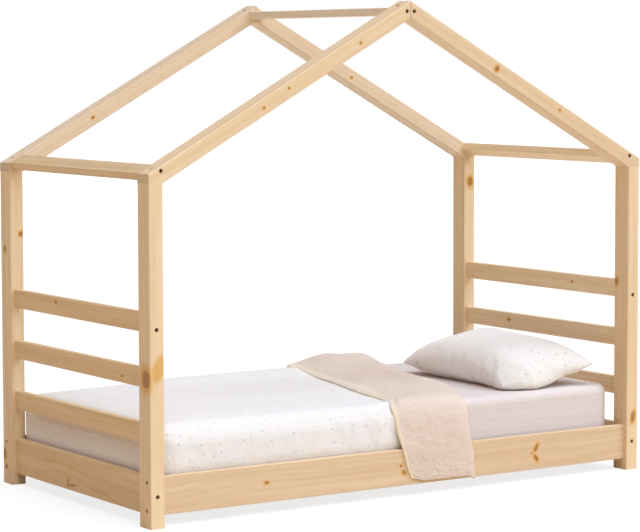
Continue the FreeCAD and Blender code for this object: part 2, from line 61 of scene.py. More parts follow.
# %% Camera
PICTURE_WIDTH = 640
PICTURE_HEIGHT = 532
FOCAL_PIXELS = 2417.9
AXIS_ROW = 226.0
SENSOR_WIDTH = 36.0
CAMERA_PLACE = Vector((-3.9004, -5.8415, 1.2313))
YAW = math.radians(33.627)
PITCH = math.radians(-4.058)
ROLL = math.radians(-0.119)

forward = Vector(
    (math.sin(YAW) * math.cos(PITCH), math.cos(YAW) * math.cos(PITCH), math.sin(PITCH))
)
level_right = Vector((math.cos(YAW), -math.sin(YAW), 0))
level_up = level_right.cross(forward)
right = level_right * math.cos(ROLL) + level_up * math.sin(ROLL)
up = level_up * math.cos(ROLL) - level_right * math.sin(ROLL)

link = bpy.context.scene.collection.objects.link
camera = bpy.data.objects.new("camera", bpy.data.cameras.new("camera"))
link(camera)
camera.data.sensor_width = SENSOR_WIDTH
camera.data.lens = SENSOR_WIDTH * FOCAL_PIXELS / PICTURE_WIDTH
camera.data.shift_y = (AXIS_ROW - PICTURE_HEIGHT / 2) / PICTURE_WIDTH
turn = Matrix((right, up, -forward)).transposed()
camera.matrix_world = Matrix.Translation(CAMERA_PLACE) @ turn.to_4x4()
bpy.context.scene.camera = camera
print("lens", round(camera.data.lens, 1), "mm")

# %% [markdown]
# ## Colours and nodes
# Colours are written as on a paint card, in sRGB hex, and one function turns them to the
# linear values that Blender's shaders use. Nodes could be joined by hand in the shader
# editor. Here one function adds a node to a material, sets it, joins its inputs and gives
# back the output that the next node needs, so each material reads as a list of its steps.


# %% Colour and node helpers
def linear(code):
    """The linear colour of an sRGB hex code such as F0D6AE."""
    channels = [int(code[i : i + 2], 16) / 255 for i in (0, 2, 4)]
    curve = [c / 12.92 if c <= 0.04045 else ((c + 0.055) / 1.055) ** 2.4 for c in channels]
    return (*curve, 1.0)


def grey(value):
    """A linear grey, from 0 for black to 1 for white."""
    return (value, value, value, 1.0)


def add_node(tree, kind, output, inputs=None, stops=None, **settings):
    """Adds a node and gives back one of its outputs, or all of them for None.

    An input's value is a number, a vector, a colour or another node's output.
    """
    node = tree.nodes.new("ShaderNode" + kind)
    for name, value in settings.items():
        setattr(node, name, value)
    for socket, value in (inputs or {}).items():
        if isinstance(value, bpy.types.NodeSocket):
            tree.links.new(value, node.inputs[socket])
        else:
            node.inputs[socket].default_value = value
    if stops:
        ramp = node.color_ramp
        while len(ramp.elements) < len(stops):
            ramp.elements.new(0.5)
        for element, (place, colour) in zip(ramp.elements, stops):
            element.position = place
            element.color = colour
    return node.outputs if output is None else node.outputs[output]


def new_material(name):
    """An empty material and its node tree."""
    material = bpy.data.materials.new(name)
    material.use_nodes = True
    tree = material.node_tree
    tree.nodes.clear()
    return material, tree


# The mix node has twins of its sockets for numbers and vectors under the same names, so
# the ones for colours are called by their places in its lists of inputs and outputs.
MIX_A, MIX_B, MIX_OUT = 6, 7, 2

# %% [markdown]
# ## Pine
# The frame is planed Scots pine under a clear matt lacquer. Pine has wide pale earlywood
# and thin darker latewood, so its rings show as fine lines along each board. A picture of
# wood would stretch and repeat, so the rings are worked out by nodes. Each board is cut
# along the grain, so a Mapping node turns the object's coordinates until X lies along it.
# Rings about a far-off pith then cross the faces as nearly straight lines, and a slow noise
# bends them. Knots are placed where the boards show them. Each is a small ellipse
# through the board, and the rings bend around it.

# %% Pine finish
RING_SPACING = 4.5 * MM
WAVE_RINGS_PER_UNIT = math.pi / 10
RING_STRENGTH = 0.25
# Real fibres are far finer. They are drawn as wide as they need to be to show.
FIBRE_WIDTH = 1.4 * MM
FIBRE_LENGTH = 45 * MM
BAND_WIDTH = 16 * MM
BAND_LENGTH = 900 * MM
BENDS_PER_METRE = (1.6, 7.0, 7.0)
BEND_DEPTH = (0.0, 26 * MM, 26 * MM)
SWIRL_AT_KNOT = 7 * MM
RAGGED_RIM = 0.7
# Where the painted shade along the apex mitre is full, and where it has faded.
MITRE_SHADE = (0.7 * MM, 1.6 * MM)
LATEWOOD = "D3A873"
KNOT_TONES = [
    (0.0, "6A3F0E"),
    (0.36, "9A6420"),
    (0.68, "B37A32"),
    (0.82, "8A5A1E"),
    (0.94, "DDA850"),
]


def shaded(tree, colour, value, low, high, at_low, at_high):
    """The colour, scaled from at_low to at_high as the value goes from low to high."""
    span = {"From Min": low, "From Max": high, "To Min": at_low, "To Max": at_high}
    shade = add_node(tree, "MapRange", "Result", {"Value": value, **span})
    return add_node(tree, "VectorMath", "Vector", {0: colour, 3: shade}, operation="SCALE")


def pine_finish(name, grain_turn, knots, pale, base, shade_at_mitre):
    """Pine whose grain runs along X once the coordinates have been turned by grain_turn."""
    material, tree = new_material(name)
    place = add_node(tree, "TexCoord", "Object")
    along = add_node(tree, "Mapping", "Vector", {"Vector": place, "Rotation": grain_turn})

    # The nearest knot, as a distance that is 1 at its rim.
    nearest = None
    for centre, radii, tilt, core in knots:
        knot = {"Vector": place, "Location": centre, "Rotation": tilt, "Scale": radii}
        local = add_node(tree, "Mapping", "Vector", knot, vector_type="TEXTURE")
        distance = add_node(tree, "VectorMath", "Value", {0: local}, operation="LENGTH")
        distance = add_node(
            tree, "Math", "Value", {0: distance, 1: core}, operation="MAXIMUM"
        )
        if nearest is not None:
            distance = add_node(
                tree, "Math", "Value", {0: nearest, 1: distance}, operation="MINIMUM"
            )
        nearest = distance

    # Slow bends in the rings, a few millimetres over a hand's length.
    slow = add_node(
        tree, "VectorMath", "Vector", {0: along, 1: BENDS_PER_METRE}, operation="MULTIPLY"
    )
    slow = {"Vector": slow, "Scale": 1.0, "Detail": 2.0}
    slow = add_node(tree, "TexNoise", "Color", slow)
    bend = {0: slow, 1: BEND_DEPTH, 2: along}
    bent = add_node(tree, "VectorMath", "Vector", bend, operation="MULTIPLY_ADD")
    if knots:
        reach = {"Value": nearest, "From Min": 0.5, "From Max": 3.0}
        swirl = add_node(
            tree,
            "MapRange",
            "Result",
            {**reach, "To Min": SWIRL_AT_KNOT, "To Max": 0.0},
            interpolation_type="SMOOTHERSTEP",
        )
        bent = add_node(tree, "VectorMath", "Vector", {0: bent, 1: swirl}, operation="ADD")

    wave = {"Vector": bent, "Scale": WAVE_RINGS_PER_UNIT / RING_SPACING}
    wobble = {"Distortion": 0.8, "Detail": 2.0, "Detail Scale": 0.4}
    rings = add_node(
        tree, "TexWave", "Fac", {**wave, **wobble}, wave_type="RINGS", rings_direction="X"
    )
    ring_tones = [(0.0, grey(0)), (0.55, grey(0.25)), (0.9, grey(1)), (1.0, grey(0.5))]
    latewood = add_node(tree, "ValToRGB", "Color", {"Fac": rings}, ring_tones)

    fibres = {0: along, 1: (1 / FIBRE_LENGTH, 1 / FIBRE_WIDTH, 1 / FIBRE_WIDTH)}
    fibres = add_node(tree, "VectorMath", "Vector", fibres, operation="MULTIPLY")
    fibres = {"Vector": fibres, "Scale": 1.0, "Detail": 2.0}
    fibres = add_node(tree, "TexNoise", "Fac", fibres)
    bands = {0: bent, 1: (1 / BAND_LENGTH, 1 / BAND_WIDTH, 1 / BAND_WIDTH)}
    bands = add_node(tree, "VectorMath", "Vector", bands, operation="MULTIPLY")
    bands = {"Vector": bands, "Scale": 1.0, "Detail": 1.5}
    bands = add_node(tree, "TexNoise", "Fac", bands)

    tone = add_node(
        tree, "MapRange", "Result", {"Value": bands, "From Min": 0.32, "From Max": 0.68}
    )
    tones = {"Factor": tone, MIX_A: linear(pale), MIX_B: linear(base)}
    earlywood = add_node(tree, "Mix", MIX_OUT, tones, data_type="RGBA")
    share = add_node(
        tree, "Math", "Value", {0: latewood, 1: RING_STRENGTH}, operation="MULTIPLY"
    )
    tones = {"Factor": share, MIX_A: earlywood, MIX_B: linear(LATEWOOD)}
    colour = add_node(tree, "Mix", MIX_OUT, tones, data_type="RGBA")
    colour = shaded(tree, colour, fibres, 0.3, 0.7, 0.955, 1.03)

    # Sawn ends show the open pores, so they are a little darker.
    facing = add_node(tree, "TexCoord", "Normal")
    facing = {"Vector": facing, "Rotation": grain_turn}
    facing = add_node(tree, "Mapping", "Vector", facing, vector_type="NORMAL")
    end_on = add_node(tree, "SeparateXYZ", "X", {"Vector": facing})
    end_on = add_node(tree, "Math", "Value", {0: end_on}, operation="ABSOLUTE")
    colour = shaded(tree, colour, end_on, 0.6, 0.86, 1.0, 0.86)

    # A knot is dark at its heart and golden at its rim, which the fibres make ragged.
    if knots:
        ragged = {0: fibres, 1: RAGGED_RIM, 2: nearest}
        ragged = add_node(tree, "Math", "Value", ragged, operation="MULTIPLY_ADD")
        on_ramp = add_node(tree, "Math", "Value", {0: ragged, 1: 0.8}, operation="MULTIPLY")
        knot_tones = [(spot, linear(code)) for spot, code in KNOT_TONES]
        knot_colour = add_node(tree, "ValToRGB", "Color", {"Fac": on_ramp}, knot_tones)
        reach = {"Value": ragged, "From Min": 1.1, "From Max": 2.2}
        knot_share = add_node(
            tree,
            "MapRange",
            "Result",
            {**reach, "To Min": 0.9, "To Max": 0.0},
            interpolation_type="SMOOTHSTEP",
        )
        tones = {"Factor": knot_share, MIX_A: colour, MIX_B: knot_colour}
        colour = add_node(tree, "Mix", MIX_OUT, tones, data_type="RGBA")

    # The mitre at the apex gets a thin dark line of painted shade, where the two rafters
    # meet.
    if shade_at_mitre:
        from_mitre = add_node(tree, "SeparateXYZ", "X", {"Vector": place})
        from_mitre = add_node(tree, "Math", "Value", {0: from_mitre}, operation="ABSOLUTE")
        colour = shaded(tree, colour, from_mitre, *MITRE_SHADE, 0.45, 1.0)

    bump = {"Height": fibres, "Strength": 0.12, "Distance": 0.3 * MM}
    bump = add_node(tree, "Bump", "Normal", bump)
    lacquer = {"Roughness": 0.46, "Specular IOR Level": 0.3}
    shader = {"Base Color": colour, "Normal": bump, **lacquer}
    shader = add_node(tree, "BsdfPrincipled", "BSDF", shader)
    add_node(tree, "OutputMaterial", None, {"Surface": shader})
    return material


# %% [markdown]
# Grain has a direction on each piece: posts stand, side rails and ledgers run along the
# bed, end boards, beams and bed slats run across it, and the rafters climb at the roof's
# slope. One material could serve them all if each board had its own coordinates. The CAD
# nodes all share one origin, so each direction gets its own material instead, and boards
# that differ in tone get their own tones. The back rafters' darker tones are painted shade.

# %% Pine on the timber
APEX_HEIGHT = 1378 * MM
EAVES_HEIGHT = 925 * MM
HALF_LENGTH = 830 * MM
ROOF_ANGLE = math.atan2(APEX_HEIGHT - EAVES_HEIGHT, HALF_LENGTH)
ALONG_BED = (0.0, 0.0, 0.0)
ACROSS_BED = (0.0, 0.0, math.radians(-90))
UPRIGHT = (0.0, math.radians(90), 0.0)
RISING = (0.0, ROOF_ANGLE, 0.0)
FALLING = (0.0, -ROOF_ANGLE, 0.0)
THROUGH_BOARD = 0.2
SIDE_FACE = 418
END_FACE = 818


def knot_in_side(x, z, half_long, half_high, tilt=0.0, face=-SIDE_FACE, core=0.0):
    """A knot seen on the face of a board that runs along the bed, in millimetres."""
    radii = (half_long * MM, THROUGH_BOARD, half_high * MM)
    return ((x * MM, face * MM, z * MM), radii, (0.0, math.radians(tilt), 0.0), core)


def knot_in_end(y, z, half_long, half_high, tilt=0.0, face=-END_FACE, core=0.0):
    """A knot seen on the face of a board that runs across the bed, in millimetres."""
    radii = (THROUGH_BOARD, half_long * MM, half_high * MM)
    return ((face * MM, y * MM, z * MM), radii, (math.radians(tilt), 0.0, 0.0), core)


def knot_in_post(x, y, z, half_x, half_y, half_high, tilt=0.0, core=0.0):
    """A knot that comes out near a post's corner, in millimetres."""
    radii = (half_x * MM, half_y * MM, half_high * MM)
    return ((x * MM, y * MM, z * MM), radii, (0.0, math.radians(tilt), 0.0), core)


# A knot's core is the smallest distance that it may have, so a large one takes away its
# dark heart: 1 leaves the golden rim, and more than 1 leaves a faint streak.
GOLDEN = 1.0
FAINT = 1.35
RAIL_KNOTS = [
    knot_in_side(-467, 86, 8, 5),
    knot_in_side(-24, 89, 6, 4),
    knot_in_side(-14, 70, 9, 6, 20),
    knot_in_side(455, 95, 7, 15, 35),
    knot_in_side(455, 66, 7, 14, -35),
    knot_in_side(438, 81, 4, 3),
    knot_in_side(-610, 74, 10, 6, 0, SIDE_FACE),
    knot_in_side(120, 102, 6, 4, 0, SIDE_FACE),
    knot_in_side(566, 58, 12, 6, 15, SIDE_FACE),
]
END_KNOTS = [
    knot_in_end(54, 54, 3.5, 13, 12),
    knot_in_end(30, 48, 22, 3.0, -8),
    knot_in_end(165, 97, 50, 3.0, -4, core=FAINT),
    knot_in_end(36, 98, 70, 3.0, 6, core=FAINT),
    knot_in_end(70, 74, 60, 2.5, 2, core=FAINT),
    knot_in_end(224, 63, 30, 3.0, core=FAINT),
    knot_in_end(-131, 54, 36, 3.0, 3, core=FAINT),
    knot_in_end(115, 549, 9, 6),
    knot_in_end(-120, 246, 45, 2.5, core=FAINT),
    knot_in_end(-260, 384, 7, 4),
    knot_in_end(-160, 540, 6, 4, 0, END_FACE),
    knot_in_end(150, 396, 8, 5, 0, END_FACE),
    knot_in_end(-60, 74, 10, 8, 0, END_FACE),
]
POST_KNOTS = [
    knot_in_post(-831, -408, 391, 10, 24, 30),
    knot_in_post(-801, -431, 420, 30, 14, 15, -62, GOLDEN),
    knot_in_post(812, -431, 158, 9, 12, 20, 12, 0.3),
    knot_in_post(790, -380, 559, 8, 8, 14),
    knot_in_post(-831, 420, 84, 16, 12, 20),
    knot_in_post(-831, 411, 52, 6, 6, 8),
    knot_in_post(-831, 404, 678, 8, 8, 10),
    knot_in_post(-831, 392, 913, 8, 8, 9),
    knot_in_post(-796, 369, 722, 8, 8, 9),
    knot_in_post(812, 369, 822, 12, 10, 18),
    knot_in_post(831, 395, 300, 9, 9, 13),
    knot_in_post(831, -402, 640, 9, 8, 12),
]
RAFTER_KNOTS = [
    knot_in_side(299, 1190, 9, 10, 30),
    knot_in_side(528, 1071, 5, 4, 28),
    knot_in_side(-478, 1090, 5, 4, -28),
    knot_in_side(-399, 1142, 4, 4, -28),
    knot_in_side(-167, 1262, 5, 4, -28),
    knot_in_side(-560, 1050, 7, 5, -28, SIDE_FACE),
    knot_in_side(350, 1160, 6, 5, 28, SIDE_FACE),
]
# Each finish has its grain, its knots, its two tones and the starts of its nodes' names.
TIMBER = {
    "upright": (UPRIGHT, POST_KNOTS, "F2DBB8", "E9CDA6", "post_"),
    "along_bed": (ALONG_BED, RAIL_KNOTS, "E3C9AA", "D9BD9B", "side_rail_", "slat_ledger_"),
    "across_bed": (
        ACROSS_BED,
        END_KNOTS,
        "ECD0A6",
        "DFBF91",
        "end_rail_left",
        "end_slat_left",
    ),
    "rafter_left": (RISING, RAFTER_KNOTS, "F2DBB8", "E9CDA6", "rafter_front_left"),
    "rafter_right": (FALLING, RAFTER_KNOTS, "EDD6B6", "E3C6A2", "rafter_front_right"),
    # The back rafters take darker copies of the rafter tones, as painted shade.
    "rafter_back_left": (RISING, RAFTER_KNOTS, "EAD6BA", "E1C8A9", "rafter_back_left"),
    "rafter_back_right": (FALLING, RAFTER_KNOTS, "EAD7BC", "E0C8AA", "rafter_back_right"),
    "eaves": (ACROSS_BED, END_KNOTS, "E0C59E", "D3B589", "eaves_beam_left"),
    "head_end": (
        ACROSS_BED,
        END_KNOTS,
        "F7E2BF",
        "EED2A8",
        "end_rail_right",
        "end_slat_right",
        "eaves_beam_right",
    ),
    "ridge": (ACROSS_BED, [], "FAF0DF", "F2E3CB", "ridge_beam"),
    "bed_slats": (ACROSS_BED, [], "EFD8B2", "E3C598", "bed_slat_"),
}


def finish_node(node, material):
    """Gives a CAD node its material."""
    node.data.materials.clear()
    node.data.materials.append(material)


for name, (grain_turn, knots, pale, base, *starts) in TIMBER.items():
    # The rafters' finishes carry a thin line of painted shade at the apex mitre.
    shade_at_mitre = name.startswith("rafter")
    material = pine_finish("pine_" + name, grain_turn, knots, pale, base, shade_at_mitre)
    slot = "pine_base" if name == "bed_slats" else "pine_frame"
    for node_name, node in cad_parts.items():
        is_timber = not node_name.endswith(("bolts", "screws"))
        if is_timber and node_name.startswith(tuple(starts)):
            finish_node(node, material)
print("pine on", sum(bool(n.data.materials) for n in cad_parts.values()), "nodes")

# %% [markdown]
# ## Small hardware
# Bolts, barrel nuts and screws are steel with a yellow zinc plate: a pale straw-coloured
# metal with a soft shine, because the plating is slightly rough. A bolt's socket is
# painted a dull dark brown, as painted shade in the recess. The dowels are raw beech,
# which shows short darker flecks, and the strap under the slats is woven tape, whose ribs
# catch the light. Noise and a wave are enough for such small faces.

# %% Zinc, beech and tape
GRIT = 2 * MM
FLECK = 1.5 * MM
TAPE_RIB = 2 * MM

zinc, tree = new_material("zinc_plate")
place = add_node(tree, "TexCoord", "Object")
clouds = {"Vector": place, "Scale": 1 / GRIT, "Detail": 3.0}
clouds = add_node(tree, "TexNoise", "Fac", clouds)
shine = {"Value": clouds, "To Min": 0.28, "To Max": 0.48}
shine = add_node(tree, "MapRange", "Result", shine)
plate = {"Base Color": linear("E0CF9C"), "Metallic": 0.6, "Roughness": shine}
shader = add_node(tree, "BsdfPrincipled", "BSDF", plate)
add_node(tree, "OutputMaterial", None, {"Surface": shader})

# Painted shade for the bolts' sockets: a dull dark brown where the recess is in shade.
painted_socket_shade, tree = new_material("painted_socket_shade")
socket_shade_look = {"Base Color": linear("6E6048"), "Metallic": 0.3, "Roughness": 0.6}
shader = add_node(tree, "BsdfPrincipled", "BSDF", socket_shade_look)
add_node(tree, "OutputMaterial", None, {"Surface": shader})

beech, tree = new_material("beech_dowel")
place = add_node(tree, "TexCoord", "Object")
flecks = {"Vector": place, "Scale": 1 / FLECK, "Detail": 2.0}
flecks = add_node(tree, "TexNoise", "Fac", flecks)
tones = {"Factor": flecks, MIX_A: linear("D3AF82"), MIX_B: linear("C29A6B")}
colour = add_node(tree, "Mix", MIX_OUT, tones, data_type="RGBA")
shader = add_node(tree, "BsdfPrincipled", "BSDF", {"Base Color": colour, "Roughness": 0.7})
add_node(tree, "OutputMaterial", None, {"Surface": shader})

tape, tree = new_material("woven_tape")
place = add_node(tree, "TexCoord", "Object")
ribs = {"Vector": place, "Scale": WAVE_RINGS_PER_UNIT / TAPE_RIB}
ribs = add_node(tree, "TexWave", "Fac", ribs, bands_direction="X")
tones = {"Factor": ribs, MIX_A: linear("D9D4C8"), MIX_B: linear("ECE8DE")}
colour = add_node(tree, "Mix", MIX_OUT, tones, data_type="RGBA")
ridges = {"Height": ribs, "Strength": 0.5, "Distance": 0.3 * MM}
ridges = add_node(tree, "Bump", "Normal", ridges)
cloth = {"Base Color": colour, "Roughness": 0.85, "Normal": ridges}
shader = add_node(tree, "BsdfPrincipled", "BSDF", cloth)
add_node(tree, "OutputMaterial", None, {"Surface": shader})

HARDWARE = [
    (("bolts", "screws", "barrel_nuts"), zinc, "zinc_fastener"),
    ("dowels", beech, "beech_dowel"),
    (("webbing_front", "webbing_back"), tape, "webbing"),
]
for node_name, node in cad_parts.items():
    for ends, finish, slot in HARDWARE:
        if node_name.endswith(ends):
            finish_node(node, finish)
            print(node_name, "in", finish.name)

# %% [markdown]
# ## Where the bolts are
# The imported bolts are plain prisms, and a full bolt takes each one's place. Their places
# could be listed again here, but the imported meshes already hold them. Each prism is a loose
# piece of its node's mesh, and its corners say where it is and which way it points: the
# corners furthest from their common centre are the tip of the shank.


# %% Places of the bolts
def fastener_places(node_name):
    """The head's end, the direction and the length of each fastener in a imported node."""
    bm = bmesh.new()
    bm.from_mesh(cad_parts[node_name].data)
    bm.transform(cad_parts[node_name].matrix_world)
    bmesh.ops.remove_doubles(bm, verts=bm.verts, dist=0.01 * MM)
    places, waiting = [], set(bm.verts)
    while waiting:
        edge = [waiting.pop()]
        piece = []
        while edge:
            vert = edge.pop()
            piece.append(vert.co.copy())
            for side in vert.link_edges:
                other = side.other_vert(vert)
                if other in waiting:
                    waiting.remove(other)
                    edge.append(other)
        centre = sum(piece, Vector()) / len(piece)
        reach = max((point - centre).length for point in piece)
        tip = [point for point in piece if (point - centre).length > reach - 0.2 * MM]
        axis = (sum(tip, Vector()) / len(tip) - centre).normalized()
        along = [(point - centre).dot(axis) for point in piece]
        places.append((centre + axis * min(along), axis, max(along) - min(along)))
    bm.free()
    return places


print(len(fastener_places("side_rail_bolts")), "bolts in the side rails")

# %% [markdown]
# ## A cap bolt
# On the bed each bolt is a turned cap bolt with a hexagon socket. A spun outline would make
# its round parts, but the hexagon isn't round, so the bolt is made of rings instead, each
# bridged to the next. A small chamfer runs round the head and the tip, because a turned
# edge is never sharp, and it catches the light.

# %% Cap bolt
HEAD_RADIUS = 5 * MM
HEAD_HEIGHT = 6 * MM
HEAD_CHAMFER = 0.7 * MM
SHANK_RADIUS = 3 * MM
TIP_CHAMFER = 0.8 * MM
TIP_LENGTH = 1 * MM
SOCKET_RADIUS = 3.1 * MM
SOCKET_DEPTH = 4.6 * MM
RING_POINTS = 24
HEXAGON = 6
SHARP_EDGE = math.radians(40)


def ring(bm, radius, height, sides=RING_POINTS):
    """A ring of 24 points, round or six-sided."""
    place = Matrix.Translation((0, 0, height))
    made = bmesh.ops.create_circle(bm, segments=sides, radius=radius, matrix=place)
    edges = list({edge for vert in made["verts"] for edge in vert.link_edges})
    if sides < RING_POINTS:
        cut = bmesh.ops.subdivide_edges(bm, edges=edges, cuts=RING_POINTS // sides - 1)
        edges = list({e for e in edges + cut["geom"] if isinstance(e, bmesh.types.BMEdge)})
    return edges


def cap_bolt(length):
    """A cap bolt whose head's end is at the origin and whose shank points down."""
    bm = bmesh.new()
    bottom = ring(bm, SOCKET_RADIUS, -SOCKET_DEPTH, HEXAGON)
    bmesh.ops.contextual_create(bm, geom=bottom)
    rings = [
        bottom,
        ring(bm, SOCKET_RADIUS, -0.3 * MM, HEXAGON),
        ring(bm, SOCKET_RADIUS + 0.5 * MM, 0.0),
        ring(bm, HEAD_RADIUS - HEAD_CHAMFER, 0.0),
        ring(bm, HEAD_RADIUS, -HEAD_CHAMFER),
        ring(bm, HEAD_RADIUS, -HEAD_HEIGHT),
        ring(bm, SHANK_RADIUS, -HEAD_HEIGHT),
        ring(bm, SHANK_RADIUS, TIP_LENGTH - length),
        ring(bm, SHANK_RADIUS - TIP_CHAMFER, -length),
    ]
    for first, second in zip(rings, rings[1:]):
        bmesh.ops.bridge_loops(bm, edges=first + second)
        # The socket's floor and walls take the second material, the painted shade.
        if first is bottom:
            for face in bm.faces:
                face.material_index = 1
    bmesh.ops.contextual_create(bm, geom=rings[-1])
    bmesh.ops.recalc_face_normals(bm, faces=bm.faces)
    for edge in bm.edges:
        edge.smooth = edge.calc_face_angle(0.0) < SHARP_EDGE
    return bm


# %% [markdown]
# ## Bolts in their places
# All bolts of a node go into one mesh, as in the imported model. One shared mesh with many
# objects would be lighter, but a piece keeps its place in its mesh, so the bolts are copied
# into one. The socket's walls and floor take the dark painted shade, and the rest the zinc.


# %% Bolts in place
def add_to_scene(name, bm, materials, body, slot, *nodes):
    """Makes the mesh an object that rides on a body and stands for its CAD nodes."""
    mesh = bpy.data.meshes.new(name)
    bm.to_mesh(mesh)
    bm.free()
    for material in materials:
        mesh.materials.append(material)
    for face in mesh.polygons:
        face.use_smooth = True
    piece = bpy.data.objects.new(name, mesh)
    link(piece)
    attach(piece, body)
    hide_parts(*nodes)
    print(name, len(mesh.polygons), "faces")
    return piece


for node_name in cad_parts:
    if node_name.endswith("bolts"):
        every = bmesh.new()
        for place, axis, length in fastener_places(node_name):
            one = cap_bolt(length)
            turn = axis.to_track_quat("-Z", "Y").to_matrix().to_4x4()
            one.transform(Matrix.Translation(place) @ turn)
            shape = bpy.data.meshes.new("one_bolt")
            one.to_mesh(shape)
            one.free()
            every.from_mesh(shape)
            bpy.data.meshes.remove(shape)
        name, finishes = "cap_" + node_name, [zinc, painted_socket_shade]
        add_to_scene(name, every, finishes, "frame", "zinc_fastener", node_name)

# %% [markdown]
# ## Cotton and its print
# The bedding is washed cotton. The duvet and the pillow have a scatter of tiny grey and
# gold dots. They could be small meshes, but a print has no thickness, so they are in the
# material: a Voronoi texture gives one random point per cell, its distance makes the dot,
# and its random colour says whether the cell has one and which colour it is. The pattern
# follows the cloth through a UV map that is laid out in metres, so one cell is a real size.
# The weave is finer than the picture can show, so its bump is drawn at four times its size.
# A second, wider bump gives the small creases that washed cotton keeps. A soft nap gives
# some sheen, and thick quilted cloth is evenly bright, which is its diffuse roughness.

# %% Cotton finish
THREAD = 1.2 * MM
SMALLEST_DOT = 0.55
LARGEST_DOT = 1.1
SMALL_CREASES = (24 * MM, 24 * MM, 0.6 * MM)


def print_dots(tree, cloth, ground, dots, cell, dot, share):
    """A ground with dots of some colours in a share of the cells, each near one size."""
    spots = {"Vector": cloth, "Scale": 1 / cell, "Randomness": 0.95}
    scatter = add_node(tree, "TexVoronoi", None, spots, voronoi_dimensions="2D")
    lottery = add_node(tree, "SeparateColor", None, {"Color": scatter["Color"]})
    sizes = {"To Min": SMALLEST_DOT * dot / cell, "To Max": LARGEST_DOT * dot / cell}
    size = add_node(tree, "MapRange", "Result", {"Value": lottery["Blue"], **sizes})
    inside = {0: scatter["Distance"], 1: size}
    inside = add_node(tree, "Math", "Value", inside, operation="LESS_THAN")
    drawn = {0: lottery["Red"], 1: share}
    drawn = add_node(tree, "Math", "Value", drawn, operation="LESS_THAN")
    dotted = add_node(tree, "Math", "Value", {0: inside, 1: drawn}, operation="MULTIPLY")
    tones = [(i / len(dots), linear(code)) for i, code in enumerate(dots)]
    dot_colour = add_node(tree, "ValToRGB", "Color", {"Fac": lottery["Green"]}, tones)
    dot_colour.node.color_ramp.interpolation = "CONSTANT"
    tones = {"Factor": dotted, MIX_A: linear(ground), MIX_B: dot_colour}
    return add_node(tree, "Mix", MIX_OUT, tones, data_type="RGBA")


def cotton_finish(name, ground, creases=SMALL_CREASES, dots=None, sheen=0.2, even=0.0):
    """Cotton with creases of a length, width and depth, and with dots where given."""
    material, tree = new_material(name)
    cloth = add_node(tree, "UVMap", "UV", uv_map="cloth")
    colour = print_dots(tree, cloth, ground, *dots) if dots else linear(ground)
    threads = {"Vector": cloth, "Scale": 1 / THREAD, "Randomness": 0.25}
    threads = add_node(tree, "TexVoronoi", "Distance", threads, voronoi_dimensions="2D")
    weave = {"Height": threads, "Strength": 0.15, "Distance": 0.2 * MM}
    weave = add_node(tree, "Bump", "Normal", weave)
    length, width, depth = creases
    stretch = {0: cloth, 1: (1 / length, 1 / width, 1)}
    rumple = add_node(tree, "VectorMath", "Vector", stretch, operation="MULTIPLY")
    rumple = {"Vector": rumple, "Scale": 1.0, "Detail": 3.0}
    rumple = add_node(tree, "TexNoise", "Fac", rumple)
    bump = {"Height": rumple, "Strength": 1.0, "Distance": depth, "Normal": weave}
    bump = add_node(tree, "Bump", "Normal", bump)
    nap = {"Roughness": 0.9, "Diffuse Roughness": even, "Sheen Weight": sheen}
    shader = {"Base Color": colour, **nap, "Specular IOR Level": 0.25, "Normal": bump}
    shader = add_node(tree, "BsdfPrincipled", "BSDF", shader)
    add_node(tree, "OutputMaterial", None, {"Surface": shader})
    return material


# The length, width and depth of each cloth's creases.
QUILT_CREASES = (30 * MM, 30 * MM, 3 * MM)
REVERSE_CREASES = (45 * MM, 45 * MM, 4 * MM)
PILLOW_CREASES = (60 * MM, 26 * MM, 3 * MM)
SHEET_CREASES = (400 * MM, 16 * MM, 1.5 * MM)
# The dots' colours, the size of their cells, their own size and how many cells have one.
PRINT = ["D0CECB", "DED3BA", "C8C8CC"]
QUILT_DOTS = (PRINT, 32 * MM, 3 * MM, 0.7)
PILLOW_DOTS = (PRINT, 30 * MM, 3 * MM, 0.7)
REVERSE_DOTS = (["F8F3EC"], 30 * MM, 2.6 * MM, 0.3)

duvet_white = cotton_finish(
    "duvet_white_cotton", "EFEDED", QUILT_CREASES, QUILT_DOTS, sheen=0.5, even=0.5
)
duvet_beige = cotton_finish("duvet_beige_cotton", "DDCBBE", REVERSE_CREASES, REVERSE_DOTS)
pillow_white = cotton_finish(
    "pillow_white_cotton", "F3F0ED", PILLOW_CREASES, PILLOW_DOTS, sheen=0.5, even=0.5
)
hem_cream = cotton_finish("cream_cotton_hem", "FFF4DC", sheen=0.9)
sheet_beige = cotton_finish("sheet_beige_cotton", "DED3D1", SHEET_CREASES)
ticking = cotton_finish("mattress_ticking", "E9E6E0")
print(len(bpy.data.materials), "materials so far")

# %% [markdown]
# ## Soft blocks
# The mattress, its sheet and the duvet's flat part are all rounded blocks. They could be
# sculpted, but each starts as a cube instead, so that its sizes stay exact. A bevel rounds
# its upright edges, another its rims, and cutting planes then divide it into small squares,
# so that folds can be pressed into it.

# %% Helpers for soft pieces
CORNER_STEPS = 8
TOP_STEPS = 5
BOTTOM_STEPS = 3


def smooth(low, high, value):
    """0 below low, 1 above high, and an even curve in between."""
    share = min(1.0, max(0.0, (value - low) / (high - low)))
    return share * share * (3 - 2 * share)


def puff(value):
    """Full bulges with sharp valleys between them, from 0 to about 1."""
    return min(1.0, abs(value) * 2.2) ** 0.5


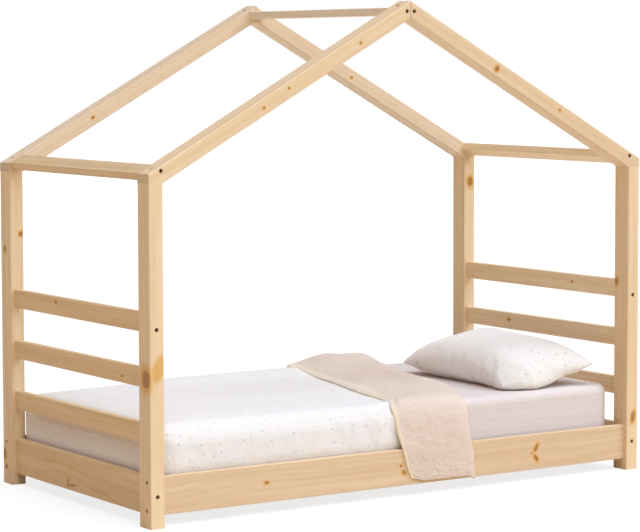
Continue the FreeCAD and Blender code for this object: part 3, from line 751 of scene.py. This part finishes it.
def rounded_block(low, high, corner, top_round, bottom_round, square):
    """A closed block with rounded corners and rims, divided into squares."""
    bm = bmesh.new()
    bmesh.ops.create_cube(bm, size=1.0)
    size = Vector(high) - Vector(low)
    bmesh.ops.scale(bm, vec=size, verts=bm.verts)
    bmesh.ops.translate(bm, vec=(Vector(high) + Vector(low)) / 2, verts=bm.verts)
    evenly = {"profile": 0.5, "affect": "EDGES", "material": -1}
    upright = [e for e in bm.edges if abs(e.verts[0].co.z - e.verts[1].co.z) > size.z / 2]
    bmesh.ops.bevel(bm, geom=upright, offset=corner, segments=CORNER_STEPS, **evenly)
    rims = ((high[2], top_round, TOP_STEPS), (low[2], bottom_round, BOTTOM_STEPS))
    for height, radius, steps in rims:
        rim = [e for e in bm.edges if all(abs(v.co.z - height) < 1e-6 for v in e.verts)]
        bmesh.ops.bevel(bm, geom=rim, offset=radius, segments=steps, **evenly)
    for axis in range(3):
        count = int(size[axis] / square)
        for index in range(1, count):
            point = Vector(low)
            point[axis] += size[axis] * index / count
            normal = Vector((0, 0, 0))
            normal[axis] = 1
            everything = bm.verts[:] + bm.edges[:] + bm.faces[:]
            bmesh.ops.bisect_plane(bm, geom=everything, plane_co=point, plane_no=normal)
    return bm


def unfold(bm, top, corner_low, corner_high, corner):
    """Lays the block's surface flat into the UV map, in metres, from its top outwards."""
    uv = bm.loops.layers.uv.new("cloth")
    bm.normal_update()
    for face in bm.faces:
        for loop in face.loops:
            co = loop.vert.co
            nearest_x = min(max(co.x, corner_low[0] + corner), corner_high[0] - corner)
            nearest_y = min(max(co.y, corner_low[1] + corner), corner_high[1] - corner)
            out = Vector((co.x - nearest_x, co.y - nearest_y))
            drop = top - co.z
            if out.length > 1e-6:
                out = out.normalized() * drop
            loop[uv].uv = (co.x + out.x, co.y + out.y)


def finish_piece(name, bm, *details):
    """Turns a soft piece's faces outwards and adds it to the scene."""
    bmesh.ops.recalc_face_normals(bm, faces=bm.faces)
    return add_to_scene(name, bm, *details)


def thicken(piece, thickness):
    """Gives a piece of cloth its thickness, inwards from its surface."""
    layer = piece.modifiers.new("thickness", "SOLIDIFY")
    layer.thickness = thickness
    layer.offset = -1.0


# %% [markdown]
# ## Mattress
# The mattress is a plain foam block in knitted ticking. The sheet hides it, but it is there
# from below. Foam keeps its shape, so a rounded block needs no more.

# %% Mattress
MATTRESS_CORNER = 62 * MM
MATTRESS_ROUND = 24 * MM
mattress_low, mattress_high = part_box("mattress")
block = rounded_block(
    mattress_low, mattress_high, MATTRESS_CORNER, MATTRESS_ROUND, 8 * MM, 60 * MM
)
unfold(block, mattress_high.z, mattress_low, mattress_high, MATTRESS_CORNER)
mattress = finish_piece(
    "foam_mattress", block, [ticking], "mattress", "mattress_ticking", "mattress"
)

# %% [markdown]
# ## Fitted sheet
# The sheet is one cloth with elastic in its hem, pulled tight over the mattress. It could
# be simulated, but stretched cloth hardly folds, so it is the same block, a little larger
# and open below. It has only faint creases along its sides, from a noise that is stretched
# along them, and its hem turns in under the mattress.

# %% Fitted sheet
SHEET_THICKNESS = 1.0 * MM
SHEET_TUCK = 70 * MM
SHEET_CREASE = 0.9 * MM
sheet_low, sheet_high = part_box("fitted_sheet")
sheet_corner = MATTRESS_CORNER + 1.6 * MM
block = rounded_block(sheet_low, sheet_high, sheet_corner, MATTRESS_ROUND, 10 * MM, 22 * MM)
under = [
    f
    for f in block.faces
    if all(v.co.z < sheet_low.z + 1e-5 for v in f.verts)
    and sheet_low.x + SHEET_TUCK < f.calc_center_median().x < sheet_high.x - SHEET_TUCK
    and abs(f.calc_center_median().y) < sheet_high.y - SHEET_TUCK
]
bmesh.ops.delete(block, geom=under, context="FACES")
unfold(block, sheet_high.z, sheet_low, sheet_high, sheet_corner)
for vert in block.verts:
    side = smooth(sheet_high.z - 30 * MM, sheet_high.z - 60 * MM, vert.co.z)
    clear_of_rim = smooth(sheet_low.z + 2 * MM, sheet_low.z + 30 * MM, vert.co.z)
    crease = noise.noise((vert.co.x * 3.5, vert.co.y * 3.5, vert.co.z * 42))
    vert.co += vert.normal * (SHEET_CREASE * crease * side * clear_of_rim)
sheet_area = sum(f.calc_area() for f in block.faces)
sheet = finish_piece(
    "cotton_fitted_sheet", block, [sheet_beige], "mattress", "sheet_cotton", "fitted_sheet"
)
thicken(sheet, SHEET_THICKNESS)

# %% [markdown]
# ## The duvet's flat part
# A thin summer quilt lies over the foot of the bed and is tucked inside the rails. It could
# be dropped on the mattress by simulation, but then its edge would not meet the turned-back
# end. So it is an open box of cloth, thick enough to look soft. Its sides fall in shallow
# upright folds and swell only where no board holds them. Its top is a little uneven: it is
# heaped towards the back, and pressed down under the turned-back end. Its foot leans in,
# and its head edge slants, because the end was pulled further down at the back.

# %% Duvet lid
DUVET_LEFT = -793 * MM
DUVET_HALF_WIDTH = 402 * MM
DUVET_BOTTOM = 118 * MM
DUVET_TOP = 263 * MM
DUVET_CORNER = 58 * MM
DUVET_ROUND = 54 * MM
DUVET_THICKNESS = 4.5 * MM
CREASE_MIDDLE = 330 * MM
CREASE_SLANT = 0.2
HEAD_COVER = 52 * MM
FOOT_LEAN = 18 * MM
TUCKED_IN = 6 * MM
HEAP = 13 * MM
PRESS = 5 * MM


def side_folds(x, y, z, at_foot):
    """How far the quilt's side stands out, in folds, and in gathers at its foot."""
    lean = z * 0.6
    folds = puff(noise.noise(((x + lean) * 6.5, 0.3, z * 1.5))) * 3.5 * MM
    folds += puff(noise.noise((x * 19, 5.3, z * 6))) * 1.2 * MM
    gathers = puff(noise.noise(((y - lean) * 12, 4.7, z * 3.0))) * 4.5 * MM
    gathers += puff(noise.noise((y * 31, 8.1, z * 12))) * 1.5 * MM
    above_rail = smooth(136 * MM, 160 * MM, z)
    between_boards = smooth(134 * MM, 172 * MM, z) * smooth(216 * MM, 186 * MM, z)
    between_boards *= smooth(370 * MM, 330 * MM, abs(y))
    return folds * above_rail * (1 - at_foot) + gathers * between_boards * at_foot


def top_height(x, y, from_rim):
    """How far the quilt's top leaves a flat one, in waves and a low crown."""
    waves = noise.noise((x * 4.2, y * 5.0, 1.7)) * 2.5
    waves += puff(noise.noise((x * 9, y * 11, 6.1))) * 1.6
    crown = smooth(20 * MM, 140 * MM, from_rim) * 2.5 - 3.5
    return (waves + crown) * MM


lid_low = (DUVET_LEFT, -DUVET_HALF_WIDTH, DUVET_BOTTOM)
lid_high = (CREASE_MIDDLE - HEAD_COVER, DUVET_HALF_WIDTH, DUVET_TOP)
block = rounded_block(lid_low, lid_high, DUVET_CORNER, DUVET_ROUND, 2 * MM, 9 * MM)
unwanted = [
    f
    for f in block.faces
    if f.calc_center_median().z < DUVET_BOTTOM + 3 * MM
    or f.calc_center_median().x > lid_high[0] - 1 * MM
]
bmesh.ops.delete(block, geom=unwanted, context="FACES")
unfold(block, DUVET_TOP, lid_low, (lid_high[0] + 0.3, lid_high[1]), DUVET_CORNER)
block.normal_update()
for vert in block.verts:
    x, y, z = vert.co
    on_side = smooth(DUVET_TOP - 8 * MM, DUVET_TOP - 60 * MM, z)
    on_top = smooth(DUVET_TOP - 24 * MM, DUVET_TOP - 2 * MM, z)
    at_foot = smooth(DUVET_LEFT + 90 * MM, DUVET_LEFT + 10 * MM, x)
    from_rim = min(x - DUVET_LEFT, DUVET_HALF_WIDTH - abs(y))
    vert.co += vert.normal * (side_folds(x, y, z, at_foot) * on_side)
    leaning = at_foot * smooth(145 * MM, 250 * MM, z) * smooth(360 * MM, 280 * MM, abs(y))
    vert.co.x += FOOT_LEAN * leaning
    tucked = smooth(150 * MM, 124 * MM, z) * smooth(300 * MM, 390 * MM, abs(y))
    vert.co.y -= math.copysign(TUCKED_IN, y) * tucked
    vert.co.z += on_top * top_height(x, y, from_rim)
    heaped = HEAP * smooth(-0.8, -0.1, x) * smooth(0.2, 0.36, y)
    under_end = smooth(-0.14, -0.01, x - 0.07 - 0.22 * y)
    pressed = PRESS * under_end * smooth(40 * MM, 100 * MM, from_rim)
    vert.co.z += (heaped - pressed) * smooth(190 * MM, 255 * MM, z)
    vert.co.x += CREASE_SLANT * y * smooth(-0.2, lid_high[0], x)
duvet_lid = finish_piece(
    "duvet_lid", block, [duvet_white], "duvet", "duvet_cotton", "duvet"
)
thicken(duvet_lid, DUVET_THICKNESS)

# %% [markdown]
# ## The turned-back end
# The duvet's head end is folded back on itself, so its beige reverse is on top. It runs
# across the bed and down over the front rail. A simulated fold falls where it likes, and
# this one has its place, so it is drawn by sections. The rows below are sections across it,
# from the bottom of the hanging part to the far side of the bed: where the section is, how
# far it leans from upright, where its hem and its crease are, how thick it is at the hem
# and at its crest, and how full it is. Smooth curves through the rows give every section
# between.

# %% Rows of the turned-back end
# y, z, lean in degrees, hem x, crease x, hem height, crest height, fullness; in millimetres
FOLD_ROWS = [
    (-418.6, 42, 90, 13, 230, 4.0, 8.5, 2.0),
    (-418.6, 54, 90, 9, 228, 4.5, 11.0, 2.0),
    (-418.6, 90, 90, -3, 225, 5.0, 11.3, 2.0),
    (-418.6, 141, 90, -18, 216, 5.5, 11.3, 2.0),
    (-411, 180, 84, -27, 211, 7.0, 17, 2.0),
    (-404, 220, 72, -31, 211, 8.0, 19, 2.0),
    (-390, 246, 50, -33, 213, 9.0, 20, 2.0),
    (-366, 256, 22, -20, 222, 10, 20, 2.0),
    (-320, 256, 4, 0, 246, 14, 22, 2.0),
    (-150, 256, 0, 33, 314, 21, 26, 2.0),
    (60, 256, 0, 88, 340, 18, 24, 2.0),
    (210, 256, 0, 118, 372, 15, 35, 2.3),
    (320, 267, 0, 130, 394, 14, 36, 2.8),
    (358, 270, -8, 118, 396, 12, 36, 2.6),
    (384, 257, -46, 116, 392, 10, 26, 2.4),
    (402, 220, -78, 138, 380, 5, 18, 2.0),
]
LAST_ROW = len(FOLD_ROWS) - 1


def row_between(position):
    """A smooth curve through the rows, one column at a time."""
    index = min(int(position), LAST_ROW - 1)
    t = position - index
    rows = [FOLD_ROWS[min(max(index + step, 0), LAST_ROW)] for step in (-1, 0, 1, 2)]
    mixed = []
    for a, b, c, d in zip(*rows):
        bend = 2 * b + (c - a) * t + (2 * a - 5 * b + 4 * c - d) * t**2
        mixed.append(0.5 * (bend + (3 * b - a - 3 * c + d) * t**3))
    return mixed


print(len(FOLD_ROWS), "rows; in the middle:", [round(v) for v in row_between(7.5)])

# %% [markdown]
# Round each section the surface goes up the hem, over the top to the crest, round the
# crease and back underneath. The profile gives that path for one share of the way round.
# The hem is the quilt's rounded edge. It bulges out, and its foot is drawn in below the
# bulge, which gives the thin dark line of shade under it.

# %% Profile of the turned-back end
HEM_PART = 0.08
HEM_BULGE = 0.22
HEM_FOOT = 0.75
TOP_PART = 0.52
CREST_AT = 0.7
CREASE_PART = 0.74
CREASE_HEIGHT = 0.4
UNDERSIDE = 0.9


def profile(share, hem, crest, fullness, width):
    """How far across and how high the surface is, for a share of the way round.

    Across goes from 0 at the hem to 1 at the crease. The heights and the width are in
    millimetres.
    """
    if share < HEM_PART:
        angle = math.pi * share / HEM_PART
        out = HEM_FOOT * (1 + math.cos(angle)) / 2 * smooth(0, 0.9, angle)
        out += HEM_BULGE * math.sin(angle)
        return -out * hem / width, hem * (1 - math.cos(angle)) / 2
    if share < TOP_PART:
        across = CREST_AT * (share - HEM_PART) / (TOP_PART - HEM_PART)
        return across, hem + (crest - hem) * (1 - (1 - across / CREST_AT) ** fullness)
    if share < CREASE_PART:
        angle = math.pi * (share - TOP_PART) / (CREASE_PART - TOP_PART)
        if angle < math.pi / 2:
            height = CREASE_HEIGHT + (1 - CREASE_HEIGHT) * math.cos(angle)
            return CREST_AT + (1 - CREST_AT) * math.sin(angle), crest * height
        height = CREASE_HEIGHT * (1 + math.cos(angle))
        return UNDERSIDE + (1 - UNDERSIDE) * math.sin(angle), crest * height
    return UNDERSIDE * (1 - (share - CREASE_PART) / (1 - CREASE_PART)), 0.0


def fold_point(around, along):
    """A point of the turned-back end, in metres."""
    y, z, lean, hem_x, crease_x, hem, crest, fullness = row_between(along * LAST_ROW)
    across, height = profile(around, hem, crest, fullness, crease_x - hem_x)
    angle = math.radians(lean)
    x = hem_x + (crease_x - hem_x) * across
    return Vector((x, y - math.sin(angle) * height, z + math.cos(angle) * height)) * MM


# %% [markdown]
# A grid is bent round that shape: one side of it goes round the section and the other runs
# along the fold. Noise then raises the soft unevenness that a quilt has on its top, while
# the part that hangs stays nearly flat. The grid's two long edges meet, so they are merged,
# and the two open ends are filled. The UV map keeps the cloth's own lengths, so the dots
# stay round.

# %% Turned-back end
AROUND = 90
ALONG = 190
CLOTH_AROUND = 0.62
CLOTH_ALONG = 1.15
HANGING_LEFT = 8 * MM
HANGING_WIDTH = 222 * MM


def lower_edge(x, along):
    """How the hanging part's lower edge leaves a straight line, at its two corners."""
    across = (x - HANGING_LEFT) / HANGING_WIDTH
    edge = smooth(0.13, 0.0, along)
    tip = edge * smooth(0.88, 1.0, across)
    rise = edge * (10 * smooth(0.22, 0.0, across) - 2 * across) - 12 * tip
    return Vector((3 * MM * tip, 0.0, rise * MM))


block = bmesh.new()
bmesh.ops.create_grid(block, x_segments=AROUND, y_segments=ALONG, size=0.5)
uv = block.loops.layers.uv.new("cloth")
shares = {vert.index: (vert.co.x + 0.5, vert.co.y + 0.5) for vert in block.verts}
for face in block.faces:
    for loop in face.loops:
        around, along = shares[loop.vert.index]
        loop[uv].uv = (around * CLOTH_AROUND, along * CLOTH_ALONG)
    face.material_index = 1 if face.calc_center_median().x + 0.5 < HEM_PART else 0
for vert in block.verts:
    around, along = shares[vert.index]
    vert.co = fold_point(around, along)
    x, y, z = vert.co
    on_top = smooth(HEM_PART, 0.14, around) * (1 - smooth(0.60, 0.70, around))
    soft = noise.noise((x * 11, y * 7, z * 9 + 2.0)) * 8.0
    soft += noise.noise((x * 26, y * 14, z * 14)) * 2.0
    lift = soft * MM * on_top * smooth(0.0, 0.08, along)
    over_rail = smooth(0.30, 0.42, along)
    vert.co.z += lift * over_rail
    vert.co.y -= max(lift, -1 * MM) * 0.5 * (1 - over_rail)
    vert.co += lower_edge(vert.co.x, along)
bmesh.ops.remove_doubles(block, verts=block.verts, dist=0.2 * MM)
bmesh.ops.holes_fill(block, edges=[e for e in block.edges if e.is_boundary])
finishes = [duvet_beige, hem_cream]
turned_back = finish_piece(
    "duvet_turned_back_end", block, finishes, "duvet", "duvet_cotton", "duvet"
)

# %% [markdown]
# A thin cream piping is sewn along the upper edge of the hem. It is a round cord of cloth.
# A mesh tube would need its own rings, and a curve with a round bevel needs only points, so
# it is a curve that follows the same rows, made a mesh at the end.

# %% Piping along the hem
PIPING_RADIUS = 1.3 * MM
PIPING_POINTS = 70
line = bpy.data.curves.new("hem_piping", "CURVE")
line.dimensions = "3D"
line.bevel_depth = PIPING_RADIUS
line.bevel_resolution = 3
line.use_fill_caps = True
spline = line.splines.new("NURBS")
spline.points.add(PIPING_POINTS)
for index, point in enumerate(spline.points):
    along = index / PIPING_POINTS
    on_hem = fold_point(HEM_PART, along)
    point.co = (*(on_hem + lower_edge(on_hem.x, along)), 1.0)
spline.order_u = 3
spline.use_endpoint_u = True
drawn = bpy.data.objects.new("hem_piping_line", line)
link(drawn)
bpy.context.view_layer.update()
block = bmesh.new()
block.from_mesh(bpy.data.meshes.new_from_object(drawn))
bpy.data.objects.remove(drawn)
if not block.loops.layers.uv:
    block.loops.layers.uv.new("cloth")
finish_piece("duvet_hem_piping", block, [hem_cream], "duvet", "duvet_cotton", "duvet")

# %% [markdown]
# ## The pillow
# A pillow is two flat rectangles sewn round their edges and filled. It could be inflated
# from flat, but its outline would then be left to chance. So the bag starts as two grids,
# joined round their rims, and each point is placed on a crowned shape: the sides are drawn
# in, and the seam is low, because the underside lies flat.

# %% Pillow bag
PILLOW_DEPTH = 320 * MM
PILLOW_LENGTH = 532 * MM
PILLOW_HEIGHT = 115 * MM
PILLOW_SEAM = 0.2 * PILLOW_HEIGHT
PILLOW_DRAWN_IN = 15 * MM
PILLOW_SQUARES = (40, 64)
BLUNT_CORNER = 0.05
SQUARENESS = 6
CROWN_PULL = 0.76
CROWN_CURVE = 1.5
UNDERSIDE_PULL = 0.4
CORNER_SHIFT = 40 * MM


def pillow_point(u, v, top):
    """A point of the filled pillow, for a place on the flat bag from -1 to 1 each way."""
    rim = max(abs(u), abs(v), 1e-6)
    side_u, side_v = u / rim, v / rim
    blunt = 1 - BLUNT_CORNER * (side_u * side_v) ** 4
    x = u * (PILLOW_DEPTH / 2 - PILLOW_DRAWN_IN * (1 - side_v**2)) * blunt
    y = v * (PILLOW_LENGTH / 2 - PILLOW_DRAWN_IN * (1 - side_u**2)) * blunt
    y += CORNER_SHIFT * smooth(0.3, 1.0, -u) * smooth(0.4, 1.0, -v)
    inner = (1 - abs(u) ** SQUARENESS) * (1 - abs(v) ** SQUARENESS)
    from_seam = max(0.0, 1 - (1 - inner) ** (1 / SQUARENESS))
    if top:
        share = min(1.0, from_seam / CROWN_PULL) ** (1 / CROWN_CURVE)
        crown = (PILLOW_HEIGHT - PILLOW_SEAM) * math.sin(math.pi / 2 * share)
        return x, y, PILLOW_SEAM + crown
    return x, y, PILLOW_SEAM * (1 - min(1.0, from_seam / UNDERSIDE_PULL) ** 0.5)


block = bmesh.new()
columns, rows = PILLOW_SQUARES
for height in (1.0, -1.0):
    bmesh.ops.create_grid(
        block,
        x_segments=columns,
        y_segments=rows,
        size=1.0,
        matrix=Matrix.Translation((0, 0, height)),
    )
uv = block.loops.layers.uv.new("cloth")
for face in block.faces:
    for loop in face.loops:
        u, v, height = loop.vert.co
        loop[uv].uv = (u * PILLOW_DEPTH * 0.6 + height, v * PILLOW_LENGTH * 0.55)
for vert in block.verts:
    vert.co = pillow_point(*vert.co.xy, vert.co.z > 0)
bmesh.ops.remove_doubles(block, verts=block.verts, dist=0.1 * MM)
pillow = finish_piece(
    "bed_pillow", block, [pillow_white], "pillow", "pillow_cotton", "pillow"
)

# %% [markdown]
# Blender's cloth then fills the bag with air, as the filling does. Its cloth is cut a
# little large, so small creases form near the seam. Each point may move only a little, so
# that the crowned shape stays, and the result becomes the mesh.

# %% Pillow filling
FILLING = {
    "use_pressure": True,
    "uniform_pressure_force": 1.5,
    "mass": 0.3,
    "tension_stiffness": 20.0,
    "compression_stiffness": 20.0,
    "bending_stiffness": 0.1,
    "shrink_min": -0.03,
    "quality": 8,
}
FILLING_FRAMES = 20
MOST_SWELL = 7 * MM
cloth = pillow.modifiers.new("filling", "CLOTH")
cloth.settings.effector_weights.gravity = 0.0
for setting, value in FILLING.items():
    setattr(cloth.settings, setting, value)
for number in range(1, FILLING_FRAMES + 1):
    bpy.context.scene.frame_set(number)
shown = pillow.evaluated_get(bpy.context.evaluated_depsgraph_get())
filled = bpy.data.meshes.new_from_object(shown)
for before, after in zip(pillow.data.vertices, filled.vertices):
    moved = after.co - before.co
    after.co = before.co + moved * min(1.0, MOST_SWELL / max(moved.length, 1e-9))
pillow.modifiers.remove(cloth)
pillow.data = filled
bpy.context.scene.frame_set(1)

# %% [markdown]
# The filled bag is brought to the pillow's real size, turned, and set down. What would be
# below the sheet is pressed up to it, as the filling gives way, and noise draws the seam
# into puckers, where the stitches hold the cloth.

# %% Lay the pillow down
PILLOW_CENTRE = Vector((553 * MM, -109 * MM, 0.0))
PILLOW_TURN = math.radians(1.2)
PILLOW_LEAN = math.radians(8.7)
PILLOW_ROLL = math.radians(2.3)
REST_HEIGHT = sheet_high.z + 0.5 * MM
SAG_REACH = 70 * MM
SEAM_LEVEL = 35 * MM
PUCKER = 5 * MM

block = bmesh.new()
block.from_mesh(pillow.data)
size = (PILLOW_DEPTH, PILLOW_LENGTH, PILLOW_HEIGHT)
lows = [min(v.co[axis] for v in block.verts) for axis in range(3)]
highs = [max(v.co[axis] for v in block.verts) for axis in range(3)]
print("filled to", [round((h - l) / MM) for l, h in zip(lows, highs)], "mm")
for vert in block.verts:
    for axis in range(3):
        share = (vert.co[axis] - lows[axis]) / (highs[axis] - lows[axis])
        vert.co[axis] = size[axis] * (share - (0.5 if axis < 2 else 0.0))
turned = (
    Matrix.Rotation(PILLOW_TURN, 4, "Z")
    @ Matrix.Rotation(PILLOW_ROLL, 4, "X")
    @ Matrix.Rotation(-PILLOW_LEAN, 4, "Y")
)
bmesh.ops.transform(block, matrix=turned, verts=block.verts)
lowest = min(v.co.z for v in block.verts)
left = min(v.co.x for v in block.verts)
block.normal_update()
for vert in block.verts:
    raised = (vert.co.x - left) * math.sin(PILLOW_LEAN)
    raised *= smooth(70 * MM, -60 * MM, vert.co.x)
    near_underside = smooth(SAG_REACH, 0.0, vert.co.z - lowest - raised)
    near_seam = smooth(75 * MM, 25 * MM, abs(vert.co.z - lowest - SEAM_LEVEL))
    pull = puff(noise.noise((vert.co.x * 24, vert.co.y * 24, 0.7))) - 0.7
    vert.co += vert.normal * (pull * PUCKER * near_seam)
    vert.co.z = max(lowest, vert.co.z - raised * near_underside)
    vert.co += PILLOW_CENTRE
    vert.co.z += REST_HEIGHT - lowest
block.to_mesh(pillow.data)
block.free()
pillow.data.shade_smooth()
rounder = pillow.modifiers.new("smooth", "SUBSURF")
rounder.levels = 1
rounder.render_levels = 1

# %% [markdown]
# ## Floor
# The bed stands on a plain white floor. A floor bright enough to look white would throw its
# light back up at the bed, so it shows two faces: the camera sees it nearly white, with a
# faint shadow, and the light that bounces from it meets pale, slightly warm paint.

# %% Floor
FLOOR_GLOW = 0.80
FLOOR_SEEN = 0.28
FLOOR_HALF = 30.0


def seen_by(tree, *rays):
    """1 for these kinds of ray and 0 for all others."""
    path = add_node(tree, "LightPath", None)
    seen = path[rays[0]]
    for ray in rays[1:]:
        seen = add_node(tree, "Math", "Value", {0: seen, 1: path[ray]}, operation="MAXIMUM")
    return seen


block = bmesh.new()
bmesh.ops.create_grid(block, x_segments=1, y_segments=1, size=FLOOR_HALF)
floor_mesh = bpy.data.meshes.new("floor")
block.to_mesh(floor_mesh)
block.free()
floor = bpy.data.objects.new("floor", floor_mesh)
link(floor)
floor_paint, tree = new_material("floor_paint")
seen = seen_by(tree, "Is Camera Ray", "Is Glossy Ray", "Is Transmission Ray")
paint = add_node(tree, "BsdfDiffuse", "BSDF", {"Color": linear("E2CDB0")})
shadowed = add_node(tree, "BsdfDiffuse", "BSDF", {"Color": grey(FLOOR_SEEN)})
glow = add_node(tree, "Emission", "Emission", {"Color": grey(1), "Strength": FLOOR_GLOW})
backdrop = add_node(tree, "AddShader", "Shader", {0: shadowed, 1: glow})
surface = add_node(tree, "MixShader", "Shader", {0: seen, 1: paint, 2: backdrop})
add_node(tree, "OutputMaterial", None, {"Surface": surface})
floor_mesh.materials.append(floor_paint)
print("floor", 2 * FLOOR_HALF, "m wide")

# %% [markdown]
# ## World and lamps
# A soft window light comes from the front right, and a wider one from above the camera.
# Both are a little cool, and the left faces have only the warmer light of the room. So pine
# in shade turns golden, and white cotton stays white where the lamps reach it. A third lamp
# is weak and stands low behind the bed, where it lifts the faces that look away. The lamps
# could be area lights near the bed, but a far-off sun with a wide disc lights every board
# alike. The world is white only where the camera looks past the floor, and elsewhere it is
# the room's warm fill.

# %% World and lamps
FILL_STRENGTH = 0.305
COOL = "E3F2FF"
world = bpy.data.worlds.new("studio")
bpy.context.scene.world = world
world.use_nodes = True
tree = world.node_tree
tree.nodes.clear()
seen = seen_by(tree, "Is Camera Ray", "Is Transmission Ray")
fill = {"Color": linear("FFD8BF"), "Strength": FILL_STRENGTH}
fill = add_node(tree, "Background", "Background", fill)
white = add_node(tree, "Background", "Background", {"Color": grey(1), "Strength": 1.0})
both = add_node(tree, "MixShader", "Shader", {0: seen, 1: fill, 2: white})
add_node(tree, "OutputWorld", None, {"Surface": both})


def soft_lamp(name, strength, towards, spread, colour):
    """A far-off soft lamp, as a sun with a wide disc of so many degrees."""
    lamp = bpy.data.objects.new(name, bpy.data.lights.new(name, "SUN"))
    link(lamp)
    lamp.data.energy = strength
    lamp.data.angle = math.radians(spread)
    lamp.data.color = linear(colour)[:3]
    lamp.rotation_mode = "QUATERNION"
    lamp.rotation_quaternion = Vector(towards).to_track_quat("Z", "Y")
    print(name, strength)


soft_lamp("window_light", 1.15, (0.62, -0.42, 0.66), 18, COOL)
soft_lamp("ceiling_light", 2.85, (0.08, -0.48, 0.87), 70, COOL)
soft_lamp("back_light", 0.25, (0.25, 0.95, 0.15), 60, "FFFFFF")

bpy.context.scene.view_settings.view_transform = "Standard"
